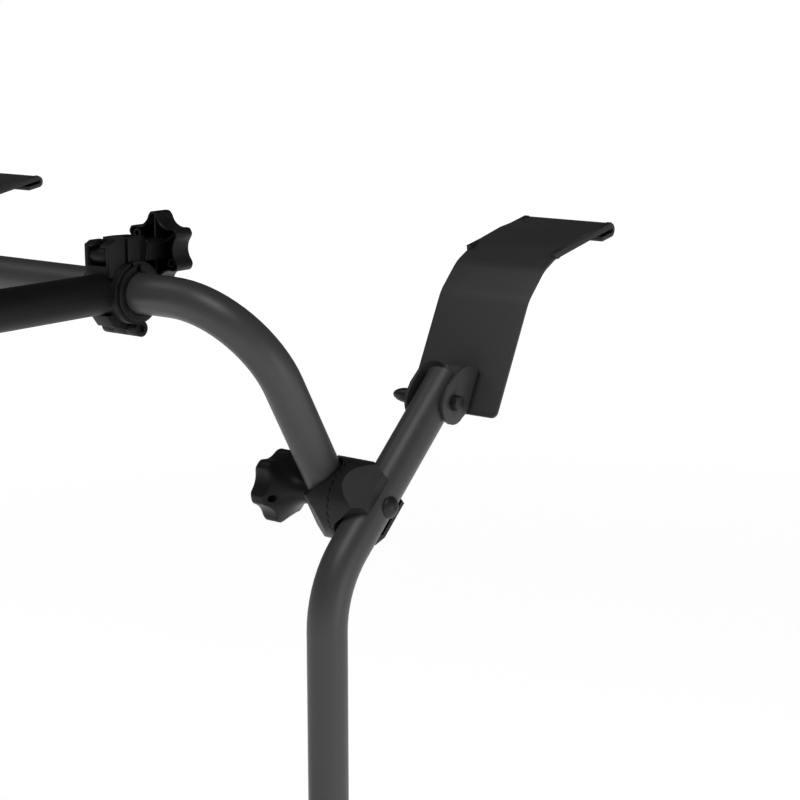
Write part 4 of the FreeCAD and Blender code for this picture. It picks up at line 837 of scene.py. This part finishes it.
@dataclass
class ClampKnob:
    """Hollow handle that closes one arm clamp."""

    side: Side
    centre_x: float
    plan: LobePlan = LobePlan(0.0323, 0.0414, 0.0175)
    gap: float = 0.0003
    stem: float = 0.0085
    stem_power: float = 7.0
    stem_length: float = 0.0144
    thick: float = 0.022
    face_thick: float = 0.003
    wall: float = 0.0022
    rim_round: tuple = ((0.0042, 0.0), (0.0024, 0.0005), (0.0010, 0.0018), (0.0002, 0.0038),
                        (0.0, 0.0060))
    dish: tuple = ((0.0, 0.012), (0.0008, 0.0114))
    rib_thick: float = 0.0017
    rib_drop: float = 0.003
    post_lobes: tuple = (0, 3)
    post_at: float = 0.0235
    post_drop: float = 0.0012
    around: int = 216

    @property
    def floor(self) -> float:
        """Height of the hollow's floor above the handle's seat."""
        return self.stem_length + self.thick - self.face_thick

    def outline(self, matrix: Matrix, height: float, inset: float) -> list:
        """One ring of the handle's outline.

        Args:
            matrix: Place of the handle.
            height: Height above its seat.
            inset: How far the ring lies inside the outline.

        Returns:
            The ring's points.
        """
        ring = []
        for index in range(self.around):
            angle = 2.0 * math.pi * index / self.around
            far = self.plan.softened(angle) - inset
            ring.append(matrix @ Vector((far * math.cos(angle), far * math.sin(angle), height)))
        return ring

    def block(self, matrix: Matrix, height: float, half: float, power: float) -> list:
        """One ring of the squarish stem.

        Args:
            matrix: Place of the handle.
            height: Height above its seat.
            half: Half of the stem's width.
            power: How square the ring is; 2 makes it round.

        Returns:
            The ring's points.
        """
        ring = []
        for index in range(self.around):
            angle = 2.0 * math.pi * index / self.around
            round_off = (abs(math.cos(angle)) ** power + abs(math.sin(angle)) ** power) ** (1.0 / power)
            far = half / round_off
            ring.append(matrix @ Vector((far * math.cos(angle), far * math.sin(angle), height)))
        return ring

    def shell(self, matrix: Matrix) -> bpy.types.Mesh:
        """Outer wall, hollow back and stem in one skin.

        Args:
            matrix: Place of the handle.

        Returns:
            The mesh.
        """
        back = self.stem_length
        front = back + self.thick
        square, circle = self.stem_power, 2.0
        rings = [
            self.block(matrix, 0.0, 0.0045, circle),
            self.block(matrix, 0.0, self.stem - 0.0006, square),
            self.block(matrix, 0.0006, self.stem, square),
            self.block(matrix, self.floor - 0.001, self.stem + 0.0006, square),
            self.block(matrix, self.floor, self.stem + 0.0022, square),
            self.outline(matrix, self.floor, self.wall + 0.0014),
            self.outline(matrix, self.floor - 0.0012, self.wall + 0.0002),
            self.outline(matrix, back + 0.0004, self.wall),
            self.outline(matrix, back, self.wall - 0.0004),
            self.outline(matrix, back, 0.0004),
            self.outline(matrix, back + 0.0005, 0.0),
        ]
        rings += [self.outline(matrix, front - drop, inset) for drop, inset in self.rim_round]
        rings += [self.block(matrix, front - drop, half, circle) for drop, half in self.dish]
        return loft(rings)

    def build(self) -> None:
        """Make the handle with its ribs and screw posts."""
        low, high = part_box("thrust_washer_" + self.side.value)
        seat = Vector((self.centre_x, high.y + self.gap, (low.z + high.z) / 2.0))
        matrix = axes(seat, Vector((-1.0, 0.0, 0.0)), Vector((0.0, 1.0, 0.0)))
        mesh = self.shell(matrix)
        shape = bmesh.new()
        shape.from_mesh(mesh)
        for index in range(self.plan.lobes):
            angle = 2.0 * math.pi * (index + 0.5) / self.plan.lobes
            if index in self.post_lobes:
                self.add_post(shape, matrix, angle)
            else:
                self.add_rib(shape, matrix, angle)
        shape.to_mesh(mesh)
        shape.free()
        node = "clamp_knob_" + self.side.value
        keep("clamp_knob_grip_" + self.side.value, finished(mesh, KNOB_SMOOTH), KNOB, node, node)

    def add_rib(self, shape: bmesh.types.BMesh, matrix: Matrix, angle: float) -> None:
        """Thin web from the stem to a lobe's wall.

        Args:
            shape: Mesh it is added to.
            matrix: Place of the handle.
            angle: Direction of the lobe, in radians.
        """
        turn = matrix @ Matrix.Rotation(angle, 4, "Z")
        low = self.stem_length + self.rib_drop
        near, far = self.stem - 0.0006, self.plan.softened(angle) - self.wall + 0.0006
        middle = ((near + far) / 2.0, 0.0, (self.floor + low) / 2.0 + 0.0002)
        size = Matrix.Diagonal((far - near, self.rib_thick, self.floor - low + 0.0006, 1.0))
        bmesh.ops.create_cube(shape, size=1.0, matrix=turn @ Matrix.Translation(middle) @ size)

    def add_post(self, shape: bmesh.types.BMesh, matrix: Matrix, angle: float) -> None:
        """Hollow screw post on a lobe's floor.

        Args:
            shape: Mesh it is added to.
            matrix: Place of the handle.
            angle: Direction of the lobe, in radians.
        """
        turn = matrix @ Matrix.Rotation(angle, 4, "Z")
        centre = turn @ Matrix.Translation((self.post_at, 0.0, 0.0))
        low = self.stem_length + self.post_drop
        stops = ((self.floor + 0.0002, 0.0048), (low, 0.0044), (low, 0.0024), (self.floor - 0.001, 0.0022))
        post = loft([round_ring(centre, radius, height, 28) for height, radius in stops])
        shape.from_mesh(post)
        bpy.data.meshes.remove(post)


def build_teeth_tree() -> bpy.types.NodeTree:
    """Geometry Nodes tree that sets a row of small blocks along a line.

    Returns:
        The tree.
    """
    tree = bpy.data.node_groups.new("strap_teeth", "GeometryNodeTree")
    tree.interface.new_socket("Geometry", in_out="INPUT", socket_type="NodeSocketGeometry")
    for label, value in (("Pitch", 0.005), ("Width", 0.017), ("Along", 0.002), ("Height", 0.0016)):
        socket = tree.interface.new_socket(label, in_out="INPUT", socket_type="NodeSocketFloat")
        socket.default_value = value
    tree.interface.new_socket("Finish", in_out="INPUT", socket_type="NodeSocketMaterial")
    tree.interface.new_socket("Geometry", in_out="OUTPUT", socket_type="NodeSocketGeometry")
    given = tree.nodes.new("NodeGroupInput").outputs
    line = tree.nodes.new("GeometryNodeMeshToCurve")
    link(tree, given["Geometry"], line.inputs["Mesh"])
    spaced = tree.nodes.new("GeometryNodeResampleCurve")
    spaced.mode = "LENGTH"
    link(tree, line.outputs["Curve"], spaced.inputs["Curve"])
    link(tree, given["Pitch"], spaced.inputs["Length"])
    size = tree.nodes.new("ShaderNodeCombineXYZ")
    for axis, label in (("X", "Width"), ("Y", "Along"), ("Z", "Height")):
        link(tree, given[label], size.inputs[axis])
    block = tree.nodes.new("GeometryNodeMeshCube")
    link(tree, size.outputs[0], block.inputs["Size"])
    tangent = tree.nodes.new("GeometryNodeInputTangent")
    turned = tree.nodes.new("FunctionNodeAlignEulerToVector")
    turned.axis = "Y"
    turned.pivot_axis = "X"
    link(tree, tangent.outputs["Tangent"], turned.inputs["Vector"])
    placed = tree.nodes.new("GeometryNodeInstanceOnPoints")
    link(tree, spaced.outputs["Curve"], placed.inputs["Points"])
    link(tree, block.outputs["Mesh"], placed.inputs["Instance"])
    link(tree, turned.outputs["Rotation"], placed.inputs["Rotation"])
    real = tree.nodes.new("GeometryNodeRealizeInstances")
    link(tree, placed.outputs["Instances"], real.inputs["Geometry"])
    painted = tree.nodes.new("GeometryNodeSetMaterial")
    link(tree, real.outputs["Geometry"], painted.inputs["Geometry"])
    link(tree, given["Finish"], painted.inputs["Material"])
    out = tree.nodes.new("NodeGroupOutput")
    link(tree, painted.outputs["Geometry"], out.inputs["Geometry"])
    return tree


@dataclass
class StrapTeeth:
    """Ladder of small teeth down the outside of every wheel strap."""

    pitch: float = 0.0052
    bend: float = 0.0445
    bend_steps: int = 12
    strap_width: float = 0.025
    strap_thick: float = 0.0025
    sunk: float = 0.0003
    clear: float = 0.004

    def side_points(self, x: float, y: float, half: float, low: float, top: float) -> list:
        """Outer line of one strap, from its buckle over the wheel and down.

        Args:
            x: Middle of the strap's width.
            y: Middle of its tray.
            half: Half of the strap's span.
            low: Height at which the teeth end.
            top: Height of the strap's top.

        Returns:
            Points along the strap's outer face.
        """
        bend, near, far = self.bend, y - half, y + half
        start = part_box("strap_buckles")[1].z + self.clear
        points = [Vector((x, near + self.sunk, start)), Vector((x, near + self.sunk, top - bend))]
        reach = bend - self.sunk
        turns = [math.radians(90.0 * step / self.bend_steps) for step in range(self.bend_steps + 1)]
        for turn in turns[1:]:
            aside, up = reach * math.cos(turn), reach * math.sin(turn)
            points.append(Vector((x, near + bend - aside, top - bend + up)))
        for turn in turns:
            aside, up = reach * math.sin(turn), reach * math.cos(turn)
            points.append(Vector((x, far - bend + aside, top - bend + up)))
        points.append(Vector((x, far - self.sunk, low)))
        return points

    def build(self) -> None:
        """Set the teeth on all the straps as one piece."""
        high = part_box("wheel_straps")[1]
        x = high.x - self.strap_width / 2.0
        shape = bmesh.new()
        for tray in ("wheel_tray_front", "wheel_tray_rear"):
            near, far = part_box(tray)
            y = (near.y + far.y) / 2.0
            half = (far.y - near.y) / 2.0 + self.strap_thick
            for side in Side:
                line = self.side_points(side.sign * x, y, half, far.z + self.clear, high.z)
                made = [shape.verts.new(point) for point in line]
                for first, second in zip(made, made[1:]):
                    shape.edges.new((first, second))
        mesh = bpy.data.meshes.new("strap_teeth_line")
        shape.to_mesh(mesh)
        shape.free()
        work = bpy.data.objects.new("strap_teeth_line", mesh)
        bpy.context.scene.collection.objects.link(work)
        tree = build_teeth_tree()
        modifier = work.modifiers.new("teeth", "NODES")
        modifier.node_group = tree
        wanted = {"Pitch": self.pitch, "Finish": STRAP.material()}
        for item in tree.interface.items_tree:
            if item.item_type == "SOCKET" and item.in_out == "INPUT" and item.name in wanted:
                modifier[item.identifier] = wanted[item.name]
        keep("strap_teeth", finished(baked(work, "strap_teeth")), STRAP, body_of("wheel_straps"))


SIDE_NAMES = tuple(side.value for side in Side)
ROUNDED = (
    [RoundedNode(node + side, MOULDED, 0.0005, 14.0)
     for side in SIDE_NAMES
     for node in ("hub_outer_half_", "hub_inner_half_")]
    + [RoundedNode(node + side, finish, radius)
     for side in SIDE_NAMES
     for node, finish, radius in (
         ("door_hook_plate_", HOOK_PAINT, 0.0006),
         ("door_hook_liner_", LINER, 0.0006),
         ("hook_clevis_", HOOK_PAINT, 0.0005),
         ("hook_bolt_", BLACK_BOLT, 0.0005),
         ("hook_cap_nut_", BLACK_BOLT, 0.0005),
         ("clamp_bush_", JAW, 0.0004),
         ("rear_jaw_", JAW, 0.0008),
         ("front_jaw_", JAW, 0.0008),
         ("barrel_nut_", JAW, 0.0004),
         ("swing_stud_", STEEL, 0.0004),
         ("thrust_washer_", JAW, 0.0004),
         ("claw_body_", MOULDED, 0.001),
         ("claw_jaw_", MOULDED, 0.001),
         ("frame_tee_", MOULDED, 0.0015),
     )]
    + [SocketedPin("jaw_pin_" + side, BLACK_BOLT, 0.0004, 30.0) for side in SIDE_NAMES]
    + [RoundedNode(node, finish, radius) for node, finish, radius in (
        ("pivot_bolts", BLACK_BOLT, 0.0004),
        ("hub_saddle_washers", MOULDED, 0.0004),
        ("upright_end_caps", MOULDED, 0.0008),
        ("pad_brackets", MOULDED, 0.001),
        ("door_pads", LINER, 0.003),
        ("bottom_hooks", HOOK_PAINT, 0.0008),
        ("fold_lugs", HOOK_PAINT, 0.0012),
        ("platform_forks", MOULDED, 0.0012),
        ("fold_bolts", STEEL, 0.0005),
        ("wheel_tray_front", TRAY, 0.0004),
        ("wheel_tray_rear", TRAY, 0.0004),
        ("tray_end_trims", MOULDED, 0.0008),
        ("tray_cradles", MOULDED, 0.0015),
        ("wheel_straps", STRAP, 0.0006),
        ("strap_buckles", MOULDED, 0.0015),
    )]
)


CLAMP_AT = {Side.RIGHT: 0.208, Side.LEFT: -0.150}


def main() -> None:
    """Build the carrier's looks in order."""
    logging.basicConfig(level=logging.INFO, format="%(name)s: %(message)s")
    Studio().build()
    TubeFrame().dress()
    for side in Side:
        HubKnob(side).build()
    for side, centre_x in CLAMP_AT.items():
        ClampKnob(side, centre_x).build()
    for entry in ROUNDED:
        entry.make()
    StrapTeeth().build()


if __name__ == "__main__":
    main()
